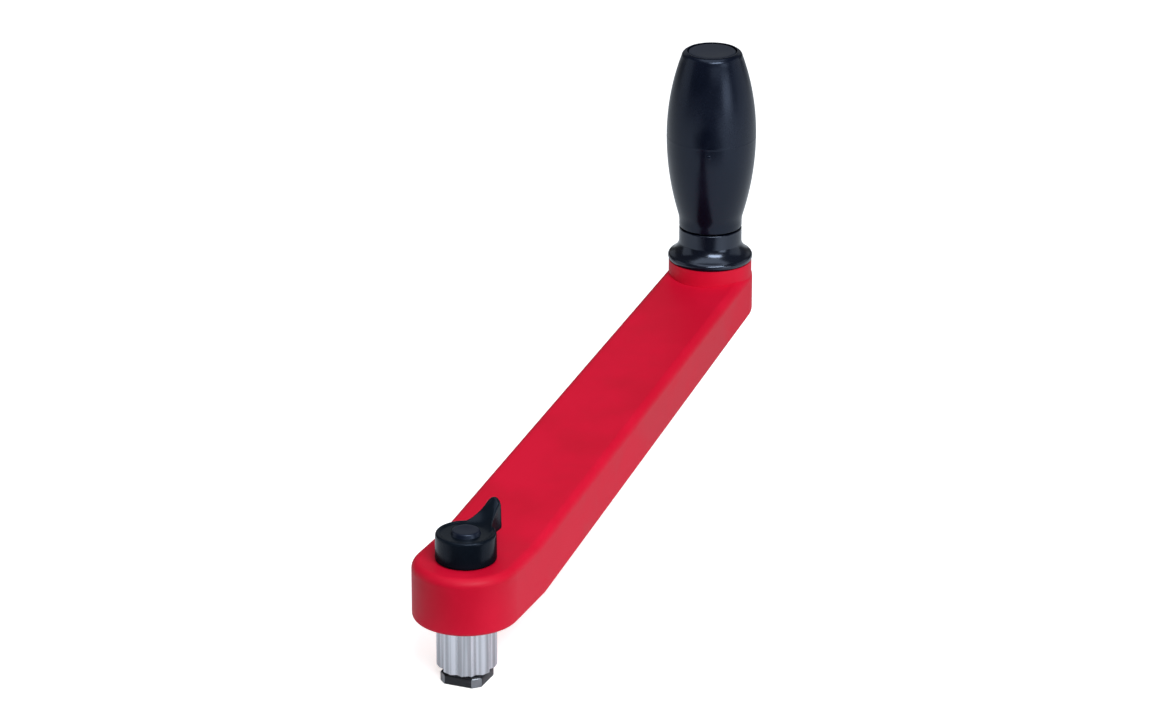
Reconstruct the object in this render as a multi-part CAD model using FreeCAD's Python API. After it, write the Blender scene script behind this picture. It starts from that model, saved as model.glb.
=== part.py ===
import FreeCAD, Part
import math
import os

# Locking winch handle: a moulded crank arm, a turning barrel grip and a lever-worked lock.
# Millimetres. Origin on the drive axis at the flat underside of the head, +X along the arm
# to the grip, +Z up. The star drive hangs below the head, and the lever sits on top of it.

# ---- overall ----
ARM_LENGTH = 254.0          # drive axis to grip axis, the usual 10 inch handle
HEAD_R = 20.8               # head radius at the drive end
HEAD_H = 23.3               # head thickness
TIP_R = 17.8                # radius of the grip end in plan
TIP_TOP_Z = 51.6            # height of the sloping top at the grip axis
TIP_LOW_Z = 32.3            # height of the sloping underside at the grip axis
TOP_BEND_X = 23.0           # where the flat head top starts to rise
LOW_BEND_X = 29.0           # where the flat head underside starts to rise
TOP_BEND_R = 60.0
LOW_BEND_R = 9.0
TOP_ROUND = 3.4             # rounding of the arm's top edge
LOW_ROUND = 1.8             # rounding of the arm's lower edge
PAD_R = 17.4                # level pad under the grip
PAD_TOP_Z = 56.5

# ---- clearances ----
RUN = 0.05                  # radial running clearance of a journal
LIFT = 0.3                  # axial gap between a turning piece and its seat
EASE = 0.15                 # gap round a piece let into a rebate
STOP_GAP = 0.05             # gap between the cam finger and a stop at each limit

# ---- arm moulding ----
SIDE_WALL = 4.4
ROOF = 3.2
COVER_T = 2.5
COVER_INSET = 2.2
COVER_X0 = 33.0
COVER_X1 = 229.0
COVER_CORNER = 4.0
LEDGE = 2.5                 # ledge that the cover rests on at each end
FOAM_GAP = 0.4
BOSS_R = 4.2
BOSS_INSET = 3.0            # boss centre in from the cavity wall
BOSS_X = (45.0, 131.0, 217.0)
COVER_SCREW_R = 1.6
COVER_SCREW_HEAD_R = 3.2
COVER_SCREW_HEAD_T = 1.8
COVER_SCREW_L = 11.0

# ---- star drive ----
STAR_FLATS = 17.46          # 11/16 inch across each of its two squares
STAR_TIP_R = 11.6
STAR_L = 21.2
STAR_TURN = 22.5            # turns the points clear of the arm line
STAR_CHAMFER = 0.8
FLANGE_R = 16.0
FLANGE_SHARE = 0.172        # flange thickness as a share of the head's
KEY_FLATS = 24.0            # hexagonal key above the flange
KEY_SHARE = 0.215           # key thickness as a share of the head's
DRIVE_SCREW_PCR = 13.6      # the screws stand between the star's points and the rim
DRIVE_SCREW_R = 1.5
DRIVE_SCREW_HEAD_R = 2.1
DRIVE_SCREW_HEAD_T = 1.6
DRIVE_SCREW_COUNT = 4

# ---- lock ----
UNLOCK_DEG = 22.5           # half the pitch of the star's points
LEVER_REST_DEG = -11.25
SPINDLE_R = 4.0
SPINDLE_SQUARE = 5.6
BUSH_WALL = 1.95            # wall of the spindle's bushes
BUSH_LIP = 1.5              # flange of the lower bush beyond its barrel
BUSH_FLANGE_T = 1.0
BUSH_PROUD = 0.3
LOW_BUSH_L = 12.0
PLATE_FLATS = 17.2
PLATE_CORNER_R = 10.2       # distance from the axis to each cut corner
PLATE_GAP = 0.7
PLATE_T = 4.4
PLATE_BEVEL = 0.9
PLATE_SCREW_R = 2.0
PLATE_SCREW_HEAD_R = 4.8
PLATE_SCREW_HEAD_T = 1.8
PLATE_SCREW_L = 9.0
CHAMBER_R = 11.8
TOP_BUSH_SHARE = 0.245      # upper bush, and solid head above the spring chamber
CAM_HUB_WALL = 1.7
CAM_HUB_GAP = 0.7           # hub's top below the chamber's roof
CAM_FINGER_R = 11.3
CAM_FINGER_W = 3.2
CAM_FINGER_T = 2.7
CAM_PIN_R = 1.2
CAM_PIN_DROP = 2.1          # cross pin below the top of the cam's hub
STOP_PIN_R = 1.5
STOP_PIN_PCR = 9.5
STOP_PIN_L = 7.0
SPRING_EASE = 1.9           # coil's wire axis out from the cam's hub
SPRING_WIRE_R = 0.5
SPRING_MIN_PITCH = 1.2
SPRING_GAP = 0.3            # coil clear of the finger below and the roof above
SPRING_LEG = 2.2
SPRING_LEG_R = 0.45         # the wire's ends are dressed down to enter their holes
SEAL_WIRE_R = 0.66
SEAL_EASE = 0.03            # gap round the seal in its pocket
SEAL_POCKET_T = 1.9

# ---- lever ----
LEVER_R = 11.8
LEVER_H = 10.8
LEVER_DRAFT = 0.2           # the lever's side leans in by this much at the top
LEVER_ROUND = 1.0
TAB_R = 21.3
TAB_TIP_R = 2.8
TAB_H = 18.6
TAB_FLANK_R = 20.0
TAB_UNDER = 5.7             # finger room: tab underside above the lever's
LEVER_POCKET_R = 5.25
LEVER_SCREW_SEAT = 6.1      # lever underside to the screw's seat
LEVER_SCREW_R = 2.0
LEVER_SCREW_HEAD_R = 4.9
LEVER_SCREW_HEAD_T = 2.2
LEVER_SCREW_CLEAR = 3.6     # screw's tip above the cross pin's axis
CAP_T = 3.5

# ---- grip ----
GRIP_H = 91.4               # collar underside to the top of the grip
COLLAR_H = 14.2
COLLAR_FOOT_R = 17.6
COLLAR_FOOT_H = 2.9
COLLAR_NECK_R = 13.1
COLLAR_NECK_Z = 7.8
GROOVE = 0.7                # gap between the collar and the turning sleeve
BELLY_R = 18.6
BELLY_Z = 55.0
LOW_BELLY_ARC_R = 122.0     # curve from the neck up to the belly
TOP_BELLY_ARC_R = 102.0     # curve from the belly up to the rim
RIM_ROUND = 2.2
JOURNAL_R = 5.0
SPINDLE_FOOT_R = 8.5
SPINDLE_FOOT_T = 3.0
SLEEVE_BORE_R = 7.0
SLEEVE_HOLLOW_R = 8.6
LOW_FLANGE_R = 10.0
LOW_FLANGE_SEAT = 2.0
LOW_BARREL_L = 14.0
TOP_POCKET_R = 10.7
TOP_POCKET_DEPTH = 11.0
TOP_FLANGE_R = 9.4
TOP_FLANGE_T = 2.0
TOP_BARREL_L = 14.0
GRIP_WASHER_R = 8.4
GRIP_WASHER_T = 1.5
GRIP_SCREW_R = 3.0
GRIP_SCREW_HEAD_R = 5.0
GRIP_SCREW_HEAD_T = 3.2
GRIP_SCREW_L = 18.0
END_CAP_R = 10.0
END_CAP_T = 3.4
END_CAP_FLANGE_T = 2.0
NUT_POCKET_R = 10.5
NUT_SEAT_Z = 43.2
NUT_FLATS = 16.0
NUT_T = 5.0
NUT_WASHER_R = 9.2
NUT_WASHER_T = 1.5
NUT_REACH = 0.8             # thread standing below the nut

# ---- derived ----
PIVOT_LEAN = math.asin((HEAD_R - TIP_R) / ARM_LENGTH)
TOP_SLOPE = (TIP_TOP_Z - HEAD_H) / (ARM_LENGTH - TOP_BEND_X)
LOW_SLOPE = TIP_LOW_Z / (ARM_LENGTH - LOW_BEND_X)
LOW_ANGLE = math.degrees(math.atan(LOW_SLOPE))
FLANGE_T = HEAD_H * FLANGE_SHARE
KEY_T = HEAD_H * KEY_SHARE
TOP_BUSH_L = HEAD_H * TOP_BUSH_SHARE
KEY_TOP_Z = FLANGE_T + KEY_T
DRIVE_SCREW_L = KEY_TOP_Z
DRIVE_BORE_R = SPINDLE_R + RUN + BUSH_WALL
BUSH_FLANGE_R = DRIVE_BORE_R + BUSH_LIP
SEAL_POCKET_R = SPINDLE_R + RUN + 2 * SEAL_WIRE_R + SEAL_EASE
CHAMBER_TOP_Z = HEAD_H - TOP_BUSH_L
CAM_HUB_R = SPINDLE_R + CAM_HUB_WALL
SPRING_R = CAM_HUB_R + SPRING_EASE
LEVER_Z = HEAD_H + LIFT
LEVER_TOP_Z = HEAD_H + LEVER_H
LEVER_SEAT_Z = LEVER_Z + LEVER_SCREW_SEAT
PLATE_TOP_Z = -STAR_L - PLATE_GAP
PLATE_LOW_Z = PLATE_TOP_Z - PLATE_T
PLATE_SEAT_Z = PLATE_LOW_Z + PLATE_SCREW_HEAD_T
CAM_LOW_Z = KEY_TOP_Z + LIFT
CAM_FINGER_TOP_Z = CAM_LOW_Z + CAM_FINGER_T
CAM_HUB_TOP_Z = CHAMBER_TOP_Z - CAM_HUB_GAP
CAM_PIN_Z = CAM_HUB_TOP_Z - CAM_PIN_DROP
LEVER_SCREW_L = LEVER_SEAT_Z - CAM_PIN_Z - LEVER_SCREW_CLEAR
SPRING_LOW_Z = CAM_FINGER_TOP_Z + SPRING_WIRE_R + SPRING_GAP
SPRING_TOP_Z = CHAMBER_TOP_Z - SPRING_WIRE_R - SPRING_GAP
SPRING_TURNS = int((SPRING_TOP_Z - SPRING_LOW_Z) / SPRING_MIN_PITCH)
SPRING_PITCH = (SPRING_TOP_Z - SPRING_LOW_Z) / SPRING_TURNS
STOP_HALF_DEG = math.degrees(
    math.asin((CAM_FINGER_W / 2 + STOP_PIN_R + STOP_GAP) / STOP_PIN_PCR)
)
COLLAR_TOP_Z = PAD_TOP_Z + COLLAR_H
SLEEVE_LOW_Z = COLLAR_TOP_Z + GROOVE
GRIP_TOP_Z = PAD_TOP_Z + GRIP_H
SHOULDER_Z = GRIP_H - RIM_ROUND
POCKET_FLOOR_Z = GRIP_TOP_Z - TOP_POCKET_DEPTH
TOP_FLANGE_Z = POCKET_FLOOR_Z + TOP_FLANGE_T
JOURNAL_TOP_Z = TOP_FLANGE_Z + LIFT
SPINDLE_END_Z = NUT_SEAT_Z - NUT_WASHER_T - NUT_T - NUT_REACH
FAR = 60.0                  # reach of cutting blocks past the arm's sides


def vec(x, y, z):
    return FreeCAD.Vector(x, y, z)


def disc(r, z0, z1, x=0.0, y=0.0):
    return Part.makeCylinder(r, z1 - z0, vec(x, y, z0))


def ring(r_out, r_in, z0, z1, x=0.0):
    return disc(r_out, z0, z1, x).cut(disc(r_in, z0, z1, x))


def turned(edges, x=0.0):
    """Solid of revolution about the vertical axis at x from a closed (r, z) chain of edges."""
    face = Part.Face(Part.Wire(edges))
    solid = face.revolve(vec(0, 0, 0), vec(0, 0, 1), 360)
    return solid.translated(vec(x, 0, 0))


def line(p, q):
    return Part.makeLine(vec(p[0], 0, p[1]), vec(q[0], 0, q[1]))


def arc(p, m, q):
    return Part.Arc(vec(p[0], 0, p[1]), vec(m[0], 0, m[1]), vec(q[0], 0, q[1])).toShape()


def polar(r, deg):
    return r * math.cos(math.radians(deg)), r * math.sin(math.radians(deg))


def prism(points, z0, z1):
    """Upright prism on a plan polygon."""
    ring_points = [vec(x, y, z0) for x, y in points]
    wire = Part.makePolygon(ring_points + ring_points[:1])
    return Part.Face(wire).extrude(vec(0, 0, z1 - z0))


def polygon_prism(flats, sides, z0, z1, turn=0.0):
    corner = flats / 2 / math.cos(math.pi / sides)
    return prism([polar(corner, turn + 360.0 * i / sides) for i in range(sides)], z0, z1)


def turn_z(shape, deg):
    copy = shape.copy()
    copy.rotate(vec(0, 0, 0), vec(0, 0, 1), deg)
    return copy


def bend(before, corner, after, r):
    """Start, middle and end of the arc of radius r that rounds one corner of a polyline."""
    a = (vec(before[0], 0, before[1]) - vec(corner[0], 0, corner[1])).normalize()
    b = (vec(after[0], 0, after[1]) - vec(corner[0], 0, corner[1])).normalize()
    half = a.getAngle(b) / 2
    run = r / math.tan(half)
    c = vec(corner[0], 0, corner[1])
    mid_dir = (a + b).normalize()
    return c + a * run, c + mid_dir * (r / math.sin(half) - r), c + b * run


def half_width(x):
    """Half the arm's width in plan at x, between the two end circles."""
    return HEAD_R / math.cos(PIVOT_LEAN) - x * math.tan(PIVOT_LEAN)


def top_z(x):
    return HEAD_H + max(0.0, x - TOP_BEND_X) * TOP_SLOPE


def low_z(x):
    return max(0.0, x - LOW_BEND_X) * LOW_SLOPE


def arm_plan(z0, z1):
    """Upright block on the arm's plan: two end circles joined by their tangents."""
    s = math.sin(PIVOT_LEAN)
    c = math.cos(PIVOT_LEAN)
    near = (HEAD_R * s, HEAD_R * c)
    far = (ARM_LENGTH + TIP_R * s, TIP_R * c)
    edges = [
        Part.makeLine(vec(near[0], near[1], z0), vec(far[0], far[1], z0)),
        Part.Arc(
            vec(far[0], far[1], z0), vec(ARM_LENGTH + TIP_R, 0, z0), vec(far[0], -far[1], z0)
        ).toShape(),
        Part.makeLine(vec(far[0], -far[1], z0), vec(near[0], -near[1], z0)),
        Part.Arc(
            vec(near[0], -near[1], z0), vec(-HEAD_R, 0, z0), vec(near[0], near[1], z0)
        ).toShape(),
    ]
    return Part.Face(Part.Wire(edges)).extrude(vec(0, 0, z1 - z0))


def side_block(drop):
    """Block with the arm's side profile, its top lowered by drop."""
    end_x = ARM_LENGTH + FAR
    start_x = -FAR
    top_corner = (TOP_BEND_X, HEAD_H - drop)
    low_corner = (LOW_BEND_X, 0.0)
    t0, tm, t1 = bend((start_x, HEAD_H - drop), top_corner, (end_x, top_z(end_x) - drop), TOP_BEND_R)
    l0, lm, l1 = bend((start_x, 0.0), low_corner, (end_x, low_z(end_x)), LOW_BEND_R)
    corners = [
        vec(start_x, 0, 0),
        vec(end_x, 0, low_z(end_x)),
        vec(end_x, 0, top_z(end_x) - drop),
        vec(start_x, 0, HEAD_H - drop),
    ]
    edges = [
        Part.makeLine(corners[0], l0),
        Part.Arc(l0, lm, l1).toShape(),
        Part.makeLine(l1, corners[1]),
        Part.makeLine(corners[1], corners[2]),
        Part.makeLine(corners[2], t1),
        Part.Arc(t1, tm, t0).toShape(),
        Part.makeLine(t0, corners[3]),
        Part.makeLine(corners[3], corners[0]),
    ]
    face = Part.Face(Part.Wire(edges))
    return face.extrude(vec(0, 2 * FAR, 0)).translated(vec(0, -FAR, 0))


def is_outer_edge(edge, top):
    """True for an edge that runs round the rim of the arm's top or underside."""
    mid = edge.valueAt((edge.FirstParameter + edge.LastParameter) / 2)
    level = top_z(mid.x) if top else low_z(mid.x)
    inside = abs(mid.y) < 2.0 and -HEAD_R / 2 < mid.x < ARM_LENGTH
    ends_apart = abs(edge.Vertexes[0].Point.z - edge.Vertexes[-1].Point.z)
    upright = ends_apart > 5.0 and edge.BoundBox.XLength < 1.0
    return abs(mid.z - level) < 1.2 and not inside and not upright


def arm_body():
    """The arm's outside: plan and side profile crossed, edges rounded, grip pad added."""
    body = arm_plan(-FAR / 4, 2 * FAR).common(side_block(0.0))
    body = body.makeFillet(TOP_ROUND, [e for e in body.Edges if is_outer_edge(e, True)])
    body = body.makeFillet(LOW_ROUND, [e for e in body.Edges if is_outer_edge(e, False)])
    return body.fuse(disc(PAD_R, NUT_SEAT_Z, PAD_TOP_Z, ARM_LENGTH)).removeSplitter()


def on_underside(shape, x, y=0.0):
    """Stand a shape built on its own XY plane on the arm's sloping underside at x, y."""
    placed = shape.copy()
    placed.rotate(vec(0, 0, 0), vec(0, 1, 0), -LOW_ANGLE)
    placed.translate(vec(x, y, low_z(x)))
    return placed


def rounded_tray(x0, x1, inset, corner, z0, z1):
    """Tapered block with rounded corners that follows the arm's plan, on the underside."""
    u = (x1 - x0) / math.cos(math.radians(LOW_ANGLE))
    w0 = half_width(x0) - inset
    w1 = half_width(x1) - inset
    block = prism([(0, -w0), (u, -w1), (u, w1), (0, w0)], z0, z1)
    upright = [e for e in block.Edges if e.BoundBox.ZLength > (z1 - z0) / 2]
    return on_underside(block.makeFillet(corner, upright), x0)


def boss_places():
    """Cover screw places: a pair at each station, just in from the cavity walls."""
    places = []
    for x in BOSS_X:
        y = half_width(x) - SIDE_WALL - BOSS_INSET
        places.append((x, y))
        places.append((x, -y))
    return places


def cavity(gap):
    """The arm's hollow above its cover, drawn in by gap on every side but the cover's."""
    tray = rounded_tray(
        COVER_X0 + LEDGE + gap, COVER_X1 - LEDGE - gap, SIDE_WALL + gap, COVER_CORNER, COVER_T, FAR
    )
    return tray.common(side_block(ROOF + gap))


def star_prism(z0, z1):
    """Two squares set an eighth of a turn apart, with their points cut to a circle."""
    one = polygon_prism(STAR_FLATS, 4, z0, z1, STAR_TURN)
    two = polygon_prism(STAR_FLATS, 4, z0, z1, STAR_TURN + 45.0)
    tip = STAR_TIP_R
    edges = [
        line((0, z0), (tip - STAR_CHAMFER, z0)),
        line((tip - STAR_CHAMFER, z0), (tip, z0 + STAR_CHAMFER)),
        line((tip, z0 + STAR_CHAMFER), (tip, z1)),
        line((tip, z1), (0, z1)),
        line((0, z1), (0, z0)),
    ]
    return one.fuse(two).common(turned(edges)).removeSplitter()


def drive_screw_places():
    step = 360.0 / DRIVE_SCREW_COUNT
    return [polar(DRIVE_SCREW_PCR, 45.0 + step * i) for i in range(DRIVE_SCREW_COUNT)]


def screw(r, head_r, head_t, length, countersunk=True):
    """Screw standing on its head: head underneath from z = 0, shank up to length."""
    if countersunk:
        head = Part.makeCone(head_r, r, head_t)
    else:
        head = disc(head_r, 0, head_t)
    return head.fuse(disc(r, 0, length)).removeSplitter()


def drive_screws():
    one = screw(DRIVE_SCREW_R, DRIVE_SCREW_HEAD_R, DRIVE_SCREW_HEAD_T, DRIVE_SCREW_L)
    return Part.makeCompound([one.translated(vec(x, y, 0)) for x, y in drive_screw_places()])


def cover_screws():
    one = screw(COVER_SCREW_R, COVER_SCREW_HEAD_R, COVER_SCREW_HEAD_T, COVER_SCREW_L)
    return Part.makeCompound([on_underside(one, x, y) for x, y in boss_places()])


def spring_leg_place():
    return polar(SPRING_R, LEVER_REST_DEG)


def arm_shell():
    shell = arm_body()
    shell = shell.cut(cavity(0.0))
    post = disc(BOSS_R, COVER_T, FAR)
    for x, y in boss_places():
        shell = shell.fuse(on_underside(post, x, y).common(side_block(ROOF / 2)))
    shell = shell.cut(
        rounded_tray(
            COVER_X0 - EASE, COVER_X1 + EASE, COVER_INSET - EASE, COVER_CORNER, -1.0, COVER_T
        )
    )
    shell = shell.cut(cover_screws())
    shell = shell.cut(disc(FLANGE_R, -1.0, FLANGE_T))
    shell = shell.cut(polygon_prism(KEY_FLATS, 6, 0, KEY_TOP_Z))
    shell = shell.cut(disc(CHAMBER_R, KEY_TOP_Z - 1.0, CHAMBER_TOP_Z))
    shell = shell.cut(disc(DRIVE_BORE_R, CHAMBER_TOP_Z - 1.0, HEAD_H + 1.0))
    shell = shell.cut(drive_screws())
    leg_x, leg_y = spring_leg_place()
    shell = shell.cut(disc(SPRING_WIRE_R + 0.1, 10.0, SPRING_TOP_Z + SPRING_LEG + 0.2, leg_x, leg_y))
    shell = shell.cut(disc(JOURNAL_R, 0, PAD_TOP_Z + 1.0, ARM_LENGTH))
    shell = shell.cut(disc(NUT_POCKET_R, 0, NUT_SEAT_Z, ARM_LENGTH))
    return shell.removeSplitter()


def arm_cover():
    cover = rounded_tray(COVER_X0, COVER_X1, COVER_INSET, COVER_CORNER, 0.0, COVER_T)
    return cover.cut(cover_screws())


def foam_core():
    foam = cavity(FOAM_GAP)
    post = disc(BOSS_R + FOAM_GAP, 0, FAR)
    for x, y in boss_places():
        foam = foam.cut(on_underside(post, x, y))
    return foam


def drive_star():
    star = star_prism(-STAR_L, 0.0)
    star = star.fuse(disc(FLANGE_R, 0, FLANGE_T))
    star = star.fuse(polygon_prism(KEY_FLATS, 6, FLANGE_T, KEY_TOP_Z))
    star = star.cut(disc(DRIVE_BORE_R, -STAR_L - 1.0, KEY_TOP_Z + 1.0))
    star = star.cut(disc(BUSH_FLANGE_R, -STAR_L - 1.0, -STAR_L + BUSH_FLANGE_T - BUSH_PROUD))
    star = star.cut(drive_screws())
    star = star.cut(stop_pins())
    return star.removeSplitter()


def stop_pins():
    """Two dowels that the cam finger meets when the lock is shut and when it is open."""
    shut = LEVER_REST_DEG - STOP_HALF_DEG
    opened = LEVER_REST_DEG + UNLOCK_DEG + STOP_HALF_DEG
    z1 = CAM_FINGER_TOP_Z
    pins = []
    for deg in (shut, opened):
        x, y = polar(STOP_PIN_PCR, deg)
        pins.append(disc(STOP_PIN_R, z1 - STOP_PIN_L, z1, x, y))
    return Part.makeCompound(pins)


def lower_bush():
    z0 = -STAR_L - BUSH_PROUD
    bush = disc(BUSH_FLANGE_R, z0, z0 + BUSH_FLANGE_T)
    bush = bush.fuse(disc(DRIVE_BORE_R, z0, -STAR_L + LOW_BUSH_L))
    return bush.cut(disc(SPINDLE_R + RUN, z0 - 1.0, 0)).removeSplitter()


def upper_bush():
    bush = ring(DRIVE_BORE_R, SPINDLE_R + RUN, CHAMBER_TOP_Z, HEAD_H)
    return bush.cut(disc(SEAL_POCKET_R, HEAD_H - SEAL_POCKET_T, HEAD_H + 1.0))


def spindle_seal():
    middle = SPINDLE_R + RUN + SEAL_WIRE_R
    return Part.makeTorus(middle, SEAL_WIRE_R, vec(0, 0, HEAD_H - SEAL_POCKET_T / 2))


def lock_spindle():
    spindle = disc(SPINDLE_R, PLATE_TOP_Z, LEVER_Z)
    square = polygon_prism(SPINDLE_SQUARE, 4, PLATE_SEAT_Z, LEVER_SEAT_Z, LEVER_REST_DEG + 45.0)
    spindle = spindle.fuse(square)
    spindle = spindle.cut(lever_screw())
    spindle = spindle.cut(plate_screw())
    return spindle.cut(cam_pin()).removeSplitter()


def lever_screw():
    """Screw turned down into the spindle from the lever's pocket."""
    length = LEVER_SCREW_L + LEVER_SCREW_HEAD_T
    one = screw(LEVER_SCREW_R, LEVER_SCREW_HEAD_R, LEVER_SCREW_HEAD_T, length, False)
    one.rotate(vec(0, 0, 0), vec(1, 0, 0), 180)
    return one.translated(vec(0, 0, LEVER_SEAT_Z + LEVER_SCREW_HEAD_T))


def plate_screw():
    one = screw(PLATE_SCREW_R, PLATE_SCREW_HEAD_R, PLATE_SCREW_HEAD_T, PLATE_SCREW_L, False)
    return one.translated(vec(0, 0, PLATE_LOW_Z))


def cam_pin():
    """Cross pin that keys the cam to the spindle."""
    length = 2 * (CAM_HUB_R - 0.2)
    pin = Part.makeCylinder(CAM_PIN_R, length, vec(0, -length / 2, CAM_PIN_Z), vec(0, 1, 0))
    return turn_z(pin, LEVER_REST_DEG)


def lock_cam():
    """Hub on the spindle with the finger that works between the stops."""
    cam = disc(CAM_HUB_R, CAM_LOW_Z, CAM_HUB_TOP_Z)
    bar = Part.makeBox(
        CAM_FINGER_R, CAM_FINGER_W, CAM_FINGER_T, vec(0, -CAM_FINGER_W / 2, CAM_LOW_Z)
    )
    rim = disc(CAM_FINGER_R, CAM_LOW_Z, CAM_FINGER_TOP_Z)
    cam = cam.fuse(turn_z(bar, LEVER_REST_DEG).common(rim))
    cam = cam.cut(disc(SPINDLE_R, CAM_LOW_Z - 1.0, CAM_HUB_TOP_Z + 1.0))
    leg_x, leg_y = spring_leg_place()
    cam = cam.cut(disc(SPRING_WIRE_R + 0.1, CAM_LOW_Z - 1.0, SPRING_LOW_Z, leg_x, leg_y))
    return cam.cut(cam_pin()).removeSplitter()


def return_spring():
    """Torsion spring: one leg down in the cam finger, one up in the head."""
    helix = Part.makeHelix(SPRING_PITCH, SPRING_TURNS * SPRING_PITCH, SPRING_R)
    path = helix.Edges[0]
    start = path.valueAt(path.FirstParameter)
    ring_wire = Part.Wire(
        Part.makeCircle(SPRING_WIRE_R, start, path.tangentAt(path.FirstParameter))
    )
    coil = Part.Wire(helix.Edges).makePipeShell([ring_wire], True, True)
    coil = coil.translated(vec(0, 0, SPRING_LOW_Z))
    low_leg = disc(SPRING_LEG_R, SPRING_LOW_Z - SPRING_LEG, SPRING_LOW_Z, SPRING_R)
    top_leg = disc(SPRING_LEG_R, SPRING_TOP_Z, SPRING_TOP_Z + SPRING_LEG, SPRING_R)
    spring = coil.fuse([low_leg, top_leg])
    elbows = [Part.makeSphere(SPRING_WIRE_R, vec(SPRING_R, 0, z)) for z in (SPRING_LOW_Z, SPRING_TOP_Z)]
    return turn_z(spring.fuse(elbows), LEVER_REST_DEG)


def lock_plate():
    """Square foot plate with cut corners, set half a star pitch off the star's points."""
    z0 = PLATE_LOW_Z
    z1 = PLATE_TOP_Z
    plate = polygon_prism(PLATE_FLATS, 4, z0, z1, 45.0)
    plate = plate.common(polygon_prism(2 * PLATE_CORNER_R, 4, z0, z1, 0.0))
    rims = [e for e in plate.Edges if e.BoundBox.ZLength < 0.01]
    plate = plate.makeChamfer(PLATE_BEVEL, [e for e in rims if abs(e.CenterOfMass.z - z1) < 0.01])
    plate = plate.cut(
        polygon_prism(SPINDLE_SQUARE, 4, PLATE_SEAT_Z, z1 + 1.0, LEVER_REST_DEG + 45.0)
    )
    return plate.cut(disc(PLATE_SCREW_HEAD_R + 0.1, z0 - 1.0, PLATE_SEAT_Z))


def tab_plan():
    """Plan of the thumb tab: waisted flanks that run from the lever's rim to a round tip."""
    cx = TAB_R - TAB_TIP_R
    root_x = LEVER_R * 0.3
    root_y = LEVER_R * 0.8
    mid_x = (root_x + cx) / 2
    chord_y = (root_y + TAB_TIP_R) / 2
    sag = ((cx - root_x) ** 2 + (root_y - TAB_TIP_R) ** 2) / (8 * TAB_FLANK_R)
    mid_y = chord_y - sag
    edges = [
        Part.Arc(vec(root_x, root_y, 0), vec(mid_x, mid_y, 0), vec(cx, TAB_TIP_R, 0)).toShape(),
        Part.Arc(vec(cx, TAB_TIP_R, 0), vec(TAB_R, 0, 0), vec(cx, -TAB_TIP_R, 0)).toShape(),
        Part.Arc(vec(cx, -TAB_TIP_R, 0), vec(mid_x, -mid_y, 0), vec(root_x, -root_y, 0)).toShape(),
        Part.makeLine(vec(root_x, -root_y, 0), vec(root_x, root_y, 0)),
    ]
    return Part.Face(Part.Wire(edges))


def tab_profile():
    """Side view of the tab: the top sweeps up from the lever's face to a rounded crest."""
    start = (LEVER_R * 0.3, LEVER_TOP_Z)
    under_z = LEVER_Z + TAB_UNDER
    crest = (TAB_R - 2.4, HEAD_H + TAB_H)
    sweep = (TAB_R * 0.66, LEVER_TOP_Z + 3.4)
    brow = (TAB_R - 0.8, HEAD_H + TAB_H - 0.9)
    shoulder = (TAB_R - 0.1, HEAD_H + TAB_H - 3.0)
    edges = [
        line((0, under_z), (0, LEVER_TOP_Z)),
        line((0, LEVER_TOP_Z), start),
        arc(start, sweep, crest),
        arc(crest, brow, shoulder),
        line(shoulder, (TAB_R, under_z)),
        line((TAB_R, under_z), (0, under_z)),
    ]
    face = Part.Face(Part.Wire(edges))
    return face.extrude(vec(0, 2 * LEVER_R, 0)).translated(vec(0, -LEVER_R, 0))


def lock_lever():
    drum = Part.makeCone(LEVER_R, LEVER_R - LEVER_DRAFT, LEVER_TOP_Z - LEVER_Z, vec(0, 0, LEVER_Z))
    rim = [e for e in drum.Edges if abs(e.CenterOfMass.z - LEVER_TOP_Z) < 0.01]
    drum = drum.makeFillet(LEVER_ROUND, rim)
    tab = tab_plan().extrude(vec(0, 0, 2 * FAR)).common(tab_profile())
    lever = turn_z(drum.fuse(tab), LEVER_REST_DEG)
    lever = lever.cut(
        polygon_prism(
            SPINDLE_SQUARE, 4, LEVER_Z - 1.0, LEVER_SEAT_Z + 1.0, LEVER_REST_DEG + 45.0
        )
    )
    return lever.cut(disc(LEVER_POCKET_R, LEVER_SEAT_Z, 2 * FAR)).removeSplitter()


def lever_cap():
    z0 = LEVER_SEAT_Z + LEVER_SCREW_HEAD_T
    cap = disc(LEVER_POCKET_R, z0, z0 + CAP_T)
    rim = [e for e in cap.Edges if abs(e.CenterOfMass.z - z0 - CAP_T) < 0.01]
    return cap.makeFillet(0.5, rim)


def grip_spindle():
    spindle = disc(JOURNAL_R, SPINDLE_END_Z, JOURNAL_TOP_Z, ARM_LENGTH)
    foot = disc(SPINDLE_FOOT_R, PAD_TOP_Z, PAD_TOP_Z + SPINDLE_FOOT_T, ARM_LENGTH)
    return spindle.fuse(foot).cut(grip_screw()).removeSplitter()


def spindle_washer():
    return ring(NUT_WASHER_R, JOURNAL_R, NUT_SEAT_Z - NUT_WASHER_T, NUT_SEAT_Z, ARM_LENGTH)


def spindle_nut():
    z1 = NUT_SEAT_Z - NUT_WASHER_T
    nut = polygon_prism(NUT_FLATS, 6, z1 - NUT_T, z1).cut(disc(JOURNAL_R, 0, z1 + 1.0))
    return nut.translated(vec(ARM_LENGTH, 0, 0))


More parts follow.
